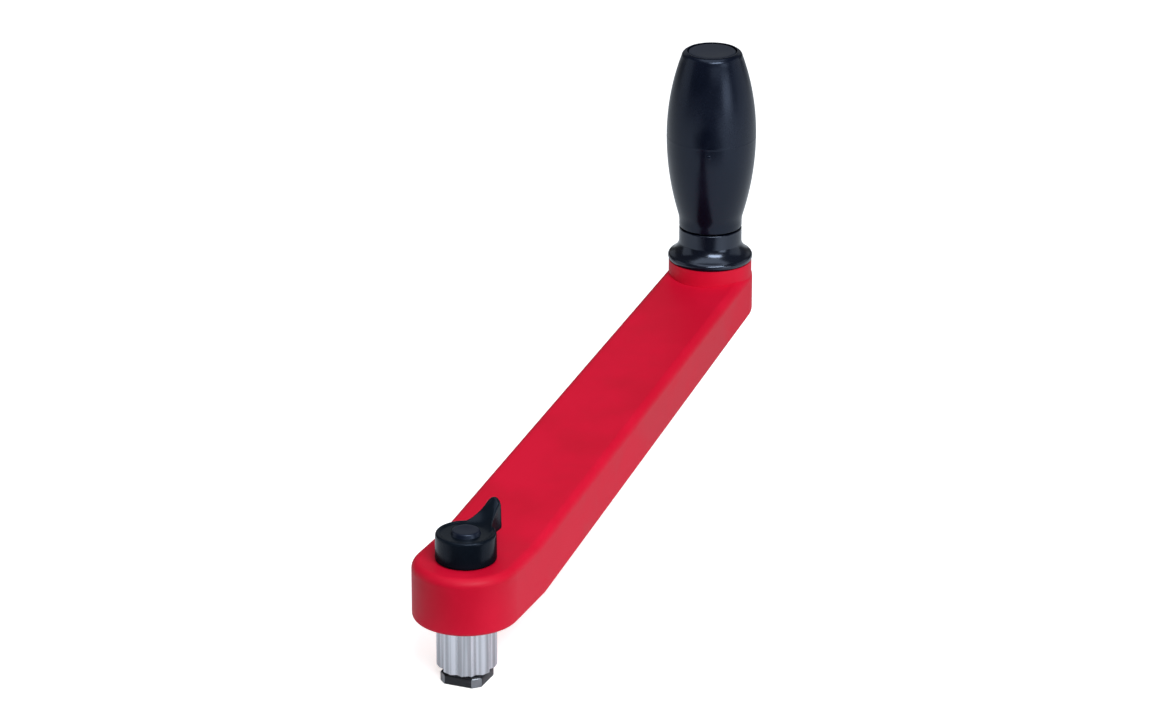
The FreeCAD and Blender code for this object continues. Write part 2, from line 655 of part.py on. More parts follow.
def grip_collar():
    """Flared foot fixed under the grip, hollowed over the spindle's own foot."""
    z = PAD_TOP_Z
    foot = COLLAR_FOOT_R
    neck = COLLAR_NECK_R
    edges = [
        line((0, z), (foot - 0.9, z)),
        arc((foot - 0.9, z), (foot, z + 1.7), (foot - 0.8, z + COLLAR_FOOT_H)),
        arc((foot - 0.8, z + COLLAR_FOOT_H), (neck + 1.1, z + 5.7), (neck, z + COLLAR_NECK_Z)),
        line((neck, z + COLLAR_NECK_Z), (neck, COLLAR_TOP_Z)),
        line((neck, COLLAR_TOP_Z), (0, COLLAR_TOP_Z)),
        line((0, COLLAR_TOP_Z), (0, z)),
    ]
    collar = turned(edges, ARM_LENGTH)
    collar = collar.cut(disc(JOURNAL_R, z - 1.0, COLLAR_TOP_Z + 1.0, ARM_LENGTH))
    return collar.cut(disc(SPINDLE_FOOT_R + EASE, z - 1.0, z + SPINDLE_FOOT_T, ARM_LENGTH))


def belly_r(height):
    """Radius of the sleeve's belly curve at a height above the pad."""
    curve = LOW_BELLY_ARC_R if height < BELLY_Z else TOP_BELLY_ARC_R
    return BELLY_R - curve + math.sqrt(curve ** 2 - (height - BELLY_Z) ** 2)


def sleeve_outside():
    z = PAD_TOP_Z
    neck = COLLAR_NECK_R
    meet = BELLY_Z - math.sqrt(LOW_BELLY_ARC_R ** 2 - (LOW_BELLY_ARC_R - BELLY_R + neck) ** 2)
    low_mid = (meet + BELLY_Z) / 2
    top_mid = (BELLY_Z + SHOULDER_Z) / 2
    belly = (BELLY_R, z + BELLY_Z)
    shoulder_r = belly_r(SHOULDER_Z)
    rim_r = shoulder_r - RIM_ROUND
    edges = [
        line((0, SLEEVE_LOW_Z), (neck, SLEEVE_LOW_Z)),
        line((neck, SLEEVE_LOW_Z), (neck, z + meet)),
        arc((neck, z + meet), (belly_r(low_mid), z + low_mid), belly),
        arc(belly, (belly_r(top_mid), z + top_mid), (shoulder_r, z + SHOULDER_Z)),
        arc(
            (shoulder_r, z + SHOULDER_Z),
            (shoulder_r - RIM_ROUND * 0.4, z + GRIP_H - RIM_ROUND * 0.28),
            (rim_r, GRIP_TOP_Z),
        ),
        line((rim_r, GRIP_TOP_Z), (0, GRIP_TOP_Z)),
        line((0, GRIP_TOP_Z), (0, SLEEVE_LOW_Z)),
    ]
    return turned(edges, ARM_LENGTH)


def grip_sleeve():
    sleeve = sleeve_outside()
    low_seat = SLEEVE_LOW_Z + LOW_FLANGE_SEAT
    sleeve = sleeve.cut(disc(SLEEVE_BORE_R, 0, 2 * GRIP_TOP_Z, ARM_LENGTH))
    sleeve = sleeve.cut(disc(LOW_FLANGE_R, 0, low_seat, ARM_LENGTH))
    sleeve = sleeve.cut(
        disc(
            SLEEVE_HOLLOW_R, low_seat + LOW_BARREL_L, POCKET_FLOOR_Z - TOP_BARREL_L, ARM_LENGTH
        )
    )
    return sleeve.cut(disc(TOP_POCKET_R, POCKET_FLOOR_Z, 2 * GRIP_TOP_Z, ARM_LENGTH))


def grip_bush_lower():
    z0 = COLLAR_TOP_Z + LIFT
    z1 = SLEEVE_LOW_Z + LOW_FLANGE_SEAT
    bush = disc(LOW_FLANGE_R, z0, z1, ARM_LENGTH)
    bush = bush.fuse(disc(SLEEVE_BORE_R, z0, z1 + LOW_BARREL_L, ARM_LENGTH))
    return bush.cut(disc(JOURNAL_R + RUN, 0, 2 * GRIP_TOP_Z, ARM_LENGTH)).removeSplitter()


def grip_bush_upper():
    bush = disc(TOP_FLANGE_R, POCKET_FLOOR_Z, TOP_FLANGE_Z, ARM_LENGTH)
    bush = bush.fuse(disc(SLEEVE_BORE_R, POCKET_FLOOR_Z - TOP_BARREL_L, TOP_FLANGE_Z, ARM_LENGTH))
    return bush.cut(disc(JOURNAL_R + RUN, 0, 2 * GRIP_TOP_Z, ARM_LENGTH)).removeSplitter()


def grip_washer():
    z0 = JOURNAL_TOP_Z
    return ring(GRIP_WASHER_R, GRIP_SCREW_R, z0, z0 + GRIP_WASHER_T, ARM_LENGTH)


def grip_screw():
    one = screw(GRIP_SCREW_R, GRIP_SCREW_HEAD_R, GRIP_SCREW_HEAD_T, GRIP_SCREW_L, False)
    one.rotate(vec(0, 0, 0), vec(1, 0, 0), 180)
    top = JOURNAL_TOP_Z + GRIP_WASHER_T + GRIP_SCREW_HEAD_T
    return one.translated(vec(ARM_LENGTH, 0, top))


def grip_end_cap():
    z1 = GRIP_TOP_Z - 0.2
    z0 = z1 - END_CAP_T
    cap = disc(END_CAP_R, z0, z1, ARM_LENGTH)
    rim = [e for e in cap.Edges if abs(e.CenterOfMass.z - z1) < 0.01]
    cap = cap.makeFillet(0.6, rim)
    return cap.fuse(disc(TOP_POCKET_R, z0, z0 + END_CAP_FLANGE_T, ARM_LENGTH)).removeSplitter()


NODES = {
    "arm_shell": arm_shell,
    "arm_cover": arm_cover,
    "cover_screws": cover_screws,
    "foam_core": foam_core,
    "drive_star": drive_star,
    "drive_screws": drive_screws,
    "stop_pins": stop_pins,
    "lower_bush": lower_bush,
    "upper_bush": upper_bush,
    "spindle_seal": spindle_seal,
    "lock_spindle": lock_spindle,
    "lock_cam": lock_cam,
    "cam_pin": cam_pin,
    "return_spring": return_spring,
    "lock_plate": lock_plate,
    "plate_screw": plate_screw,
    "lock_lever": lock_lever,
    "lever_screw": lever_screw,
    "lever_cap": lever_cap,
    "grip_spindle": grip_spindle,
    "spindle_washer": spindle_washer,
    "spindle_nut": spindle_nut,
    "grip_collar": grip_collar,
    "grip_sleeve": grip_sleeve,
    "grip_bush_lower": grip_bush_lower,
    "grip_bush_upper": grip_bush_upper,
    "grip_washer": grip_washer,
    "grip_screw": grip_screw,
    "grip_end_cap": grip_end_cap,
}

os.makedirs("parts", exist_ok=True)
for name, build in NODES.items():
    build().exportStep(os.path.join("parts", name + ".step"))
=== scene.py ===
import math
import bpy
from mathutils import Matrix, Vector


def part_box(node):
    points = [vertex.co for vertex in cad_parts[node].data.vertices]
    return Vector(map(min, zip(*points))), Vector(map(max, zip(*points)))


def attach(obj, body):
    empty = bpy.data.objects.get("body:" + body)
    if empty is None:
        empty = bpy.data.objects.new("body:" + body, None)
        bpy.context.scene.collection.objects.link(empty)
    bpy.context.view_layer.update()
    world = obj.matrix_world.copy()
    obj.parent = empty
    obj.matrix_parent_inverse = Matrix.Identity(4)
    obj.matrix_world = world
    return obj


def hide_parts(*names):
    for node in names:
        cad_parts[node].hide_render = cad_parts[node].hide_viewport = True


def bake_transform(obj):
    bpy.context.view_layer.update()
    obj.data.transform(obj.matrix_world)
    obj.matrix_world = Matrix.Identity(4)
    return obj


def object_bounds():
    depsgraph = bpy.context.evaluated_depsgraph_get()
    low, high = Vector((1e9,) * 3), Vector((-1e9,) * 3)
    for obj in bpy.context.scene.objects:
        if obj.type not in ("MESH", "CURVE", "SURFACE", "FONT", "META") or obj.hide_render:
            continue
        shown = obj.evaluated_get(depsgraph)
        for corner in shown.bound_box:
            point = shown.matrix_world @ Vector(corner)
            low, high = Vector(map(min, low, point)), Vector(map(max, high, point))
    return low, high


bl_info = {
    "name": "Locking winch handle",
    "version": (1, 0, 0),
    "blender": (4, 5, 0),
    "location": "View3D > Sidebar > Winch handle",
    "description": "Builds the visible pieces, finishes and stage of a locking winch handle",
    "category": "Add Mesh",
}

import bmesh
import bpy
from bpy.props import FloatProperty, FloatVectorProperty, IntProperty, PointerProperty
from mathutils import Matrix, Vector

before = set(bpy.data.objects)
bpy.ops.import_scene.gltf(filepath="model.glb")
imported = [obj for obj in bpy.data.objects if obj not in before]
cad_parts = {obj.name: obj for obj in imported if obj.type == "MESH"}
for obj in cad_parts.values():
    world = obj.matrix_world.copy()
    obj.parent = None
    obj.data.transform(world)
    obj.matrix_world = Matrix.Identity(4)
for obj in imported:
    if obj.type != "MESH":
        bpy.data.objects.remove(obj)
CAD_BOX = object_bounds()

MM = 0.001
AXIS_X = (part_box("grip_sleeve")[0].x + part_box("grip_sleeve")[1].x) / 2


# ---------------------------------------------------------------- properties


def length(name, description, value, low=0.0):
    """A length property in metres, given in millimetres."""
    return FloatProperty(
        name=name, description=description, default=value * MM, min=low, precision=5,
        subtype="DISTANCE", unit="LENGTH",
    )


def colour(name, description, value):
    return FloatVectorProperty(
        name=name, description=description, default=value, size=3, min=0.0, max=1.0,
        subtype="COLOR",
    )


class GripSettings(bpy.types.PropertyGroup):
    """Sizes of the barrel grip and its collar"""

    neck_r: length("Neck radius", "Radius of the collar and of the barrel's foot", 13.1)
    belly_r: length("Belly radius", "Largest radius of the barrel", 18.6)
    belly_h: length("Belly height", "Height of the belly above the arm's pad", 55.0)
    low_curve: length("Lower curve", "Radius of the curve below the belly", 122.0)
    top_curve: length("Upper curve", "Radius of the curve above the belly", 102.0)
    rim_round: length("Rim rounding", "Rounding of the barrel's top rim", 2.2)
    pocket_r: length("Top pocket radius", "Radius of the ring groove's outer wall", 10.7)
    seam_h: length("Seam height", "Height of the mould seam above the arm's pad", 54.3)
    foot_r: length("Foot radius", "Radius of the collar's flared foot", 17.6)
    steps: IntProperty(name="Steps", description="Facets round the barrel", default=128, min=24)


class LeverSettings(bpy.types.PropertyGroup):
    """Sizes of the lock lever and its button"""

    drum_r: length("Drum radius", "Radius of the lever's drum", 11.8)
    drum_top: length("Drum height", "Height of the drum above its underside", 10.9)
    shoulder: length("Shoulder", "Rounding of the drum's upper edge", 0.95)
    lip: length("Lip", "Width of the flat lip inside the shoulder", 0.7)
    dish: length("Dish", "Depth of the dish inside the lip", 0.7)
    reach: length("Tab reach", "Lock axis to the tab's tip", 21.4)
    rise: length("Tab rise", "Tab's crest above the drum", 7.6)
    tip_r: length("Tip radius", "Radius of the tab's tip in plan", 2.9)
    flank_r: length("Flank radius", "Curve of the waisted flanks", 26.0)
    hollow: length("Hollow", "Depth of the thumb rest's hollow", 1.1)
    crown: length("Crown", "How far the tab's tip falls away at its sides", 2.8)
    under: length("Tab underside", "Tab's underside above the drum's", 5.7)
    rest: FloatProperty(
        name="Rest angle", description="Lever's heading when locked", default=math.radians(-11.25),
        subtype="ANGLE", unit="ROTATION",
    )
    grain: length("Facet", "Facet size of the moulding", 0.22)
    cap_r: length("Button radius", "Radius of the button over the lever's screw", 5.25)


class DriveSettings(bpy.types.PropertyGroup):
    """Sizes of the star drive, the lock plate and the return spring"""

    flats: length("Star flats", "Width across each of the star's two squares", 17.46)
    tip_r: length("Point radius", "Radius to the star's blunted points", 11.6)
    flange_r: length("Flange radius", "Radius of the star's flange", 16.0)
    bore_r: length("Bore radius", "Radius of the bore at the star's foot", 7.5)
    plate_flats: length("Plate flats", "Width of the square lock plate", 17.2)
    plate_corner: length("Plate corner", "Lock axis to each cut corner", 10.2)
    plate_bevel: length("Plate bevel", "Slope round the plate's upper edge", 0.9)
    soft: length("Edge break", "Small round on every machined edge", 0.22)
    spring_r: length("Spring radius", "Radius of the return spring's coil at the wire's axis", 7.6)
    spring_leg: length("Spring leg", "Length of each upright leg of the spring", 2.2)
    spring_bend: length("Spring bend", "Radius where the coil turns into a leg", 0.6)
    spring_turns: IntProperty(name="Spring turns", description="Turns in the coil", default=3, min=1)
    wire_r: length("Wire radius", "Radius of the spring's wire", 0.46)


class FinishSettings(bpy.types.PropertyGroup):
    """Base colours of the finishes"""

    red: colour("Red", "Moulded arm", (0.62, 0.0030, 0.024))
    red_light: colour("Light red", "Rubbed and edge areas of the arm", (0.70, 0.0040, 0.030))
    black: colour("Black", "Grip mouldings", (0.0016, 0.0028, 0.0075))
    lever_black: colour("Lever black", "Lever moulding", (0.0028, 0.0046, 0.0076))
    bright: colour("Bright metal", "Star drive", (0.70, 0.71, 0.75))
    steel: colour("Steel", "Spindles and fasteners", (0.55, 0.55, 0.56))
    plate: colour("Plate", "Blackened lock plate", (0.006, 0.006, 0.009))


class StageSettings(bpy.types.PropertyGroup):
    """Camera of the stage"""

    lens: FloatProperty(name="Lens", description="Focal length", default=156.46, min=20.0, unit="CAMERA")
    yaw: FloatProperty(
        name="Yaw", description="Camera heading from the arm's line", default=math.radians(22.65),
        subtype="ANGLE", unit="ROTATION",
    )
    pitch: FloatProperty(
        name="Pitch", description="How far the camera looks down", default=math.radians(21.9),
        subtype="ANGLE", unit="ROTATION",
    )
    distance: length("Distance", "Camera distance", 2020.0)
    side: length("Side", "View centre to the side of the arm's middle", -6.5, low=-1.0)
    rise: length("Rise", "View centre above the arm's middle", 53.2, low=-1.0)


SETTINGS = {
    "grip": GripSettings, "lever": LeverSettings, "drive": DriveSettings,
    "finish": FinishSettings, "stage": StageSettings,
}


def settings(kind):
    """The scene's property group of that kind."""
    return getattr(bpy.context.scene, "winch_handle_" + kind)


# ---------------------------------------------------------------- node helpers


def put(tree, kind, values=None, **options):
    """Add a node; values go to its inputs, as links where they are sockets."""
    node = tree.nodes.new(kind)
    for key, value in options.items():
        setattr(node, key, value)
    for key, value in (values or {}).items():
        if isinstance(value, bpy.types.NodeSocket):
            tree.links.new(value, node.inputs[key])
        else:
            node.inputs[key].default_value = value
    return node


def new_group(name, inputs, outputs):
    tree = bpy.data.node_groups.new(name, "ShaderNodeTree")
    for label, kind, value in inputs:
        socket = tree.interface.new_socket(name=label, in_out="INPUT", socket_type=kind)
        if value is not None:
            socket.default_value = value
    for label, kind in outputs:
        tree.interface.new_socket(name=label, in_out="OUTPUT", socket_type=kind)
    return tree, tree.nodes.new("NodeGroupInput").outputs, tree.nodes.new("NodeGroupOutput")


def maths(tree, operation, a, b=0.0, clamp=False):
    return put(tree, "ShaderNodeMath", {0: a, 1: b}, operation=operation, use_clamp=clamp).outputs[0]


def ramp(tree, value, low, high, out_low=0.0, out_high=1.0):
    node = put(
        tree, "ShaderNodeMapRange",
        {"Value": value, "From Min": low, "From Max": high, "To Min": out_low, "To Max": out_high},
        interpolation_type="SMOOTHSTEP",
    )
    return node.outputs["Result"]


def noise(tree, vector, scale, detail=2.0, roughness=0.5):
    node = put(
        tree, "ShaderNodeTexNoise",
        {"Vector": vector, "Scale": scale, "Detail": detail, "Roughness": roughness},
    )
    return node.outputs["Fac"]


def grain_group():
    """Fine moulded grain over a slow unevenness, as a height."""
    tree, given, result = new_group(
        "moulded_grain",
        [("Vector", "NodeSocketVector", None), ("Grain", "NodeSocketFloat", 1.0),
         ("Waviness", "NodeSocketFloat", 1.0)],
        [("Height", "NodeSocketFloat"), ("Patches", "NodeSocketFloat")],
    )
    fine = noise(tree, given["Vector"], 2600.0, 3.0, 0.6)
    slow = noise(tree, given["Vector"], 55.0, 2.0, 0.5)
    patches = noise(tree, given["Vector"], 26.0, 4.0, 0.55)
    grain = maths(tree, "MULTIPLY", fine, given["Grain"])
    waves = maths(tree, "MULTIPLY", slow, given["Waviness"])
    tree.links.new(maths(tree, "ADD", grain, waves), result.inputs["Height"])
    tree.links.new(ramp(tree, patches, 0.35, 0.65), result.inputs["Patches"])
    return tree


def scuff_group():
    """Thin hairline scuffs in scattered places, as a mask."""
    tree, given, result = new_group(
        "hairline_scuffs",
        [("Vector", "NodeSocketVector", None), ("Amount", "NodeSocketFloat", 0.3)],
        [("Mask", "NodeSocketFloat")],
    )
    stretched = put(
        tree, "ShaderNodeMapping",
        {"Vector": given["Vector"], "Rotation": (0.3, 0.2, 0.9), "Scale": (60.0, 1400.0, 700.0)},
    )
    lines = noise(tree, stretched.outputs["Vector"], 1.0, 3.0, 0.6)
    where = noise(tree, given["Vector"], 38.0, 2.0, 0.5)
    sharp = ramp(tree, lines, 0.62, 0.72)
    spread = ramp(tree, where, 0.48, 0.68)
    both = maths(tree, "MULTIPLY", sharp, spread)
    tree.links.new(maths(tree, "MULTIPLY", both, given["Amount"]), result.inputs["Mask"])
    return tree


def turned_group():
    """Fine lines left by turning or brushing, run along Z or round the axis by the scale. On the star the
    broad bands along Z also serve as painted reflection bands.
    """
    tree, given, result = new_group(
        "tool_lines",
        [("Vector", "NodeSocketVector", None), ("Scale", "NodeSocketVector", (1.0, 1.0, 1.0))],
        [("Height", "NodeSocketFloat")],
    )
    mapped = put(tree, "ShaderNodeMapping", {"Vector": given["Vector"], "Scale": given["Scale"]})
    tree.links.new(noise(tree, mapped.outputs["Vector"], 1.0, 2.0, 0.5), result.inputs["Height"])
    return tree


GROUPS = {}
WHITE = (1.0, 1.0, 1.0)
# Blue tint of the black plastics' reflections: a painted blue cast on their highlights in place of cooler
# light.
PAINTED_BLUE_SHEEN = (0.68, 0.78, 1.0)
ACROSS_AXIS = (900.0, 900.0, 5200.0)
# Broad upright bands on the star: partly tool lines, partly painted reflection bands.
ALONG_STAR = (620.0, 620.0, 9.0)


def effect(tree, name, values):
    """Place one of the shared effects in a material."""
    if name not in GROUPS:
        GROUPS[name] = {"grain": grain_group, "scuffs": scuff_group, "lines": turned_group}[name]()
    return put(tree, "ShaderNodeGroup", values, node_tree=GROUPS[name]).outputs


def blank(name):
    """A node material with its shader, and Object coordinates."""
    material = bpy.data.materials.new(name)
    material.use_nodes = True
    tree = material.node_tree
    shader = tree.nodes["Principled BSDF"]
    place = tree.nodes.new("ShaderNodeTexCoord").outputs["Object"]
    return material, tree, shader, place


def mixed(tree, mask, a, b):
    """Colour a where the mask is 0, colour b where it is 1."""
    node = put(tree, "ShaderNodeMix", {0: mask}, data_type="RGBA")
    node.inputs[6].default_value = (*a, 1.0)
    node.inputs[7].default_value = (*b, 1.0)
    return node.outputs[2]


def bump(tree, shader, height, strength, distance):
    node = put(tree, "ShaderNodeBump", {"Height": height, "Strength": strength, "Distance": distance})
    tree.links.new(node.outputs["Normal"], shader.inputs["Normal"])


def plastic(name, dark, light, rough, grain, waviness, scuffs, coat=0.0, specular=0.5, sheen=WHITE):
    """Moulded plastic: soft colour patches, grain, uneven gloss and light scuffs."""
    material, tree, shader, place = blank(name)
    grained = effect(tree, "grain", {"Vector": place, "Grain": grain, "Waviness": waviness})
    scuffed = effect(tree, "scuffs", {"Vector": place, "Amount": scuffs})
    tone = maths(tree, "ADD", grained["Patches"], scuffed["Mask"], clamp=True)
    tree.links.new(mixed(tree, tone, dark, light), shader.inputs["Base Color"])
    gloss = ramp(tree, grained["Patches"], 0.0, 1.0, rough - 0.04, rough + 0.05)
    gloss = maths(tree, "ADD", gloss, maths(tree, "MULTIPLY", scuffed["Mask"], 0.3))
    tree.links.new(gloss, shader.inputs["Roughness"])
    shader.inputs["Coat Weight"].default_value = coat
    shader.inputs["Specular IOR Level"].default_value = specular
    # sheen tints the reflections; any tint but white is a painted colour cast on the highlights.
    shader.inputs["Specular Tint"].default_value = (*sheen, 1.0)
    shader.inputs["Coat Roughness"].default_value = 0.25
    bump(tree, shader, grained["Height"], 0.35, 0.00012)
    return material


def dim_in_mirrors(material, dark, share):
    """Darken a bright part where a glossy surface mirrors it."""
    tree = material.node_tree
    socket = tree.nodes["Principled BSDF"].inputs["Base Color"]
    shown = socket.links[0].from_socket
    mirrored = tree.nodes.new("ShaderNodeLightPath").outputs["Is Glossy Ray"]
    dimmed = mixed(tree, maths(tree, "MULTIPLY", mirrored, share), dark, dark)
    tree.links.new(shown, dimmed.node.inputs[6])
    tree.links.new(dimmed, socket)
    return material


def metal(name, base, line_tone, rough, scale, scuffs=0.4, metallic=1.0):
    """Machined metal: fine tool lines, uneven gloss and hairline scuffs. On the star the tone bands are
    broad and strong: partly tool lines, partly painted reflection bands.
    """
    material, tree, shader, place = blank(name)
    lines = effect(tree, "lines", {"Vector": place, "Scale": scale})["Height"]
    scuffed = effect(tree, "scuffs", {"Vector": place, "Amount": scuffs})["Mask"]
    streaks_and_painted_bands = maths(tree, "ADD", ramp(tree, lines, 0.36, 0.64, 0.0, 1.0), scuffed, clamp=True)
    tree.links.new(mixed(tree, streaks_and_painted_bands, base, line_tone), shader.inputs["Base Color"])
    gloss = ramp(tree, lines, 0.3, 0.7, rough - 0.05, rough + 0.07)
    tree.links.new(gloss, shader.inputs["Roughness"])
    shader.inputs["Metallic"].default_value = metallic
    bump(tree, shader, lines, 0.12, 0.00006)
    return material


def plate_metal(name, dark, bare):
    """Blackened steel with its four cut corners ground bright."""
    material, tree, shader, place = blank(name)
    lines = effect(tree, "lines", {"Vector": place, "Scale": ACROSS_AXIS})["Height"]
    scuffed = effect(tree, "scuffs", {"Vector": place, "Amount": 0.5})["Mask"]
    split = put(tree, "ShaderNodeSeparateXYZ", {0: place}).outputs
    diamond = maths(tree, "ADD", maths(tree, "ABSOLUTE", split[0]), maths(tree, "ABSOLUTE", split[1]))
    corner = settings("drive").plate_corner * math.sqrt(2)
    ground = ramp(tree, diamond, corner - 0.35 * MM, corner - 0.2 * MM)
    mask = maths(tree, "ADD", ground, maths(tree, "MULTIPLY", scuffed, 0.4), clamp=True)
    tree.links.new(mixed(tree, mask, dark, bare), shader.inputs["Base Color"])
    tree.links.new(ramp(tree, mask, 0.0, 1.0, 0.36, 0.3), shader.inputs["Roughness"])
    tree.links.new(ramp(tree, mask, 0.0, 1.0, 0.2, 1.0), shader.inputs["Metallic"])
    bump(tree, shader, lines, 0.12, 0.00006)
    return material


def shades(base, lift):
    """A lighter or darker shade of a colour."""
    return tuple(min(1.0, c * lift + 0.001) for c in base)


def make_finishes():
    """Every material of the handle, by name."""
    f = settings("finish")
    black, lever = tuple(f.black), tuple(f.lever_black)
    bright, steel = tuple(f.bright), tuple(f.steel)
    arm_red = plastic("arm_red", tuple(f.red), tuple(f.red_light), 0.5, 0.45, 0.6, 0.25, 0.0, 0.17)
    plastics = {
        "grip_black": (black, shades(black, 1.5), 0.23, 0.25, 0.8, 0.3, 0.0, 0.42, PAINTED_BLUE_SHEEN),
        "collar_black": (black, shades(black, 1.4), 0.2, 0.12, 0.5, 0.3, 0.3, 0.6, PAINTED_BLUE_SHEEN),
        "lever_black": (lever, shades(lever, 1.6), 0.22, 0.3, 0.7, 0.35, 0.0, 0.17, PAINTED_BLUE_SHEEN),
        # End disc and button: the grip's black lifted 1.4 to 2.4 times, a painted sheen on these
        # upward-facing pieces.
        "cap_black": (shades(black, 1.4), shades(black, 2.4), 0.3, 0.4, 0.4, 0.35, 0.0, 0.5, PAINTED_BLUE_SHEEN),
        "bush_white": ((0.60, 0.58, 0.52), (0.68, 0.66, 0.60), 0.45, 0.2, 0.3, 0.2),
        "foam_buff": ((0.62, 0.52, 0.30), (0.72, 0.62, 0.40), 0.85, 2.5, 1.0, 0.1),
        "seal_rubber": ((0.010, 0.010, 0.010), (0.02, 0.02, 0.02), 0.55, 0.3, 0.3, 0.1),
    }
    metals = {
        # Star base at 0.55 of the bright metal: its dark upright bands are painted reflection bands as well
        # as tool lines.
        "star_bright": (shades(bright, 0.55), bright, 0.19, ALONG_STAR, 0.2),
        "steel_turned": (steel, shades(steel, 0.8), 0.3, ACROSS_AXIS),
        "steel_fastener": (shades(steel, 0.9), steel, 0.34, ACROSS_AXIS),
        "spring_wire": (shades(steel, 0.7), shades(steel, 0.9), 0.3, ACROSS_AXIS),
    }
    finishes = {name: plastic(name, *values) for name, values in plastics.items()}
    finishes.update({name: metal(name, *values) for name, values in metals.items()})
    finishes["arm_red"] = dim_in_mirrors(arm_red, (0.02, 0.004, 0.006), 0.85)
    finishes["plate_dark"] = plate_metal("plate_dark", tuple(f.plate), shades(bright, 0.36))
    return finishes


# ---------------------------------------------------------------- mesh helpers


class Profile:
    """An open chain of edges in the XZ plane, drawn for turning about the Z axis."""

    def __init__(self, r, z):
        self.bm = bmesh.new()
        self.first = self.last = self.bm.verts.new((r, 0.0, z))

    def line(self, r, z):
        grown = bmesh.ops.extrude_vert_indiv(self.bm, verts=[self.last])["verts"][0]
        bmesh.ops.translate(self.bm, verts=[grown], vec=(r - self.last.co.x, 0, z - self.last.co.z))
        self.last = grown
        return self

    def arc(self, r, z, radius, steps=8):
        """Arc to (r, z): it bulges away from the Z axis on the way up, inward if radius < 0."""
        a = Vector((self.last.co.x, self.last.co.z))
        b = Vector((r, z))
        chord = b - a
        size = abs(radius)
        side = Vector((-chord.y, chord.x)).normalized() * (1 if radius > 0 else -1)
        centre = (a + b) / 2 + side * math.sqrt(max(size ** 2 - chord.length_squared / 4, 0.0))
        angle = 2 * math.asin(min(chord.length / 2 / size, 1.0)) * (-1 if radius > 0 else 1)
        grown = bmesh.ops.spin(
            self.bm, geom=[self.last], cent=(centre.x, 0, centre.y), axis=(0, 1, 0),
            angle=angle, steps=steps, use_merge=False,
        )["geom_last"]
        self.last = [g for g in grown if isinstance(g, bmesh.types.BMVert)][0]
        return self

    def turned(self, steps, x=0.0):
        """Turn the chain into a solid about the upright axis at x; a chain off the axis is closed first."""
        bm = self.bm
        if self.first.co.x > 0:
            bm.edges.new((self.last, self.first))
        bmesh.ops.spin(
            bm, geom=bm.verts[:] + bm.edges[:], cent=(0, 0, 0), axis=(0, 0, 1),
            angle=math.tau, steps=steps, use_merge=True,
        )
        bmesh.ops.remove_doubles(bm, verts=bm.verts, dist=1e-7)
        bmesh.ops.recalc_face_normals(bm, faces=bm.faces)
        bmesh.ops.translate(bm, verts=bm.verts, vec=(x, 0, 0))
        return bm


def chamfered(bm, edges, offset):
    bmesh.ops.bevel(
        bm, geom=edges, offset=offset, offset_type="OFFSET", segments=1,
        profile=0.5, affect="EDGES", material=-1, clamp_overlap=True,
    )


def prism(corners, z0, z1):
    """Upright prism: a ring with one vertex for each (radius, angle in degrees) corner, drawn up."""
    bm = bmesh.new()
    bmesh.ops.create_circle(bm, cap_ends=True, segments=len(corners), radius=1.0)
    bm.verts.ensure_lookup_table()
    for vert, (radius, angle) in zip(bm.verts, corners):
        turn = math.radians(angle)
        vert.co = (radius * math.cos(turn), radius * math.sin(turn), z0)
    grown = bmesh.ops.extrude_face_region(bm, geom=bm.faces[:])["geom"]
    tops = [g for g in grown if isinstance(g, bmesh.types.BMVert)]
    bmesh.ops.translate(bm, verts=tops, vec=(0, 0, z1 - z0))
    bmesh.ops.recalc_face_normals(bm, faces=bm.faces)
    return bm


def polygon(flats, sides, turn=0.0):
    """Corners of a regular polygon by its width across flats."""
    corner = flats / 2 / math.cos(math.pi / sides)
    return [(corner, turn + 360 * i / sides) for i in range(sides)]


def as_object(bm, name):
    """Turn a bmesh into an object in the scene, and free it."""
    mesh = bpy.data.meshes.new(name)
    bm.to_mesh(mesh)
    bm.free()
    made = bpy.data.objects.new(name, mesh)
    bpy.context.scene.collection.objects.link(made)
    return made


def reworked(bm, steps):
    """Put a mesh through modifiers in order and return what comes out as a new bmesh."""
    made = as_object(bm, "work")
    for kind, values in steps:
        modifier = made.modifiers.new(kind, kind)
        for key, value in values.items():
            setattr(modifier, key, value)
    shown = made.evaluated_get(bpy.context.evaluated_depsgraph_get())
    result = bmesh.new()
    result.from_mesh(shown.to_mesh())
    bpy.data.objects.remove(made)
    return result


def carved(bm, tools, operation="DIFFERENCE"):
    """Cut each tool mesh from a mesh, or join or cross them."""
    cutters = [as_object(tool, "tool") for tool in tools]
    steps = [
        ("BOOLEAN", {"operation": operation, "object": cutter, "solver": "EXACT"})
        for cutter in cutters
    ]
    result = reworked(bm, steps)
    for cutter in cutters:
        bpy.data.objects.remove(cutter)
    return result


def add_to(whole, bm):
    """Put one mesh's geometry into another, and free it."""
    held = bpy.data.meshes.new("held")
    bm.to_mesh(held)
    bm.free()
    whole.from_mesh(held)
    bpy.data.meshes.remove(held)


def softened(bm, width, degrees=30.0, segments=2):
    """Break every sharp edge of a hard part with a small round."""
    bmesh.ops.remove_doubles(bm, verts=bm.verts, dist=1e-6)
    bmesh.ops.dissolve_limit(bm, angle_limit=math.radians(1), verts=bm.verts, edges=bm.edges)
    step = {
        "width": width, "segments": segments, "limit_method": "ANGLE",
        "angle_limit": math.radians(degrees), "use_clamp_overlap": True, "harden_normals": False,
    }
    return reworked(bm, [("BEVEL", step)])


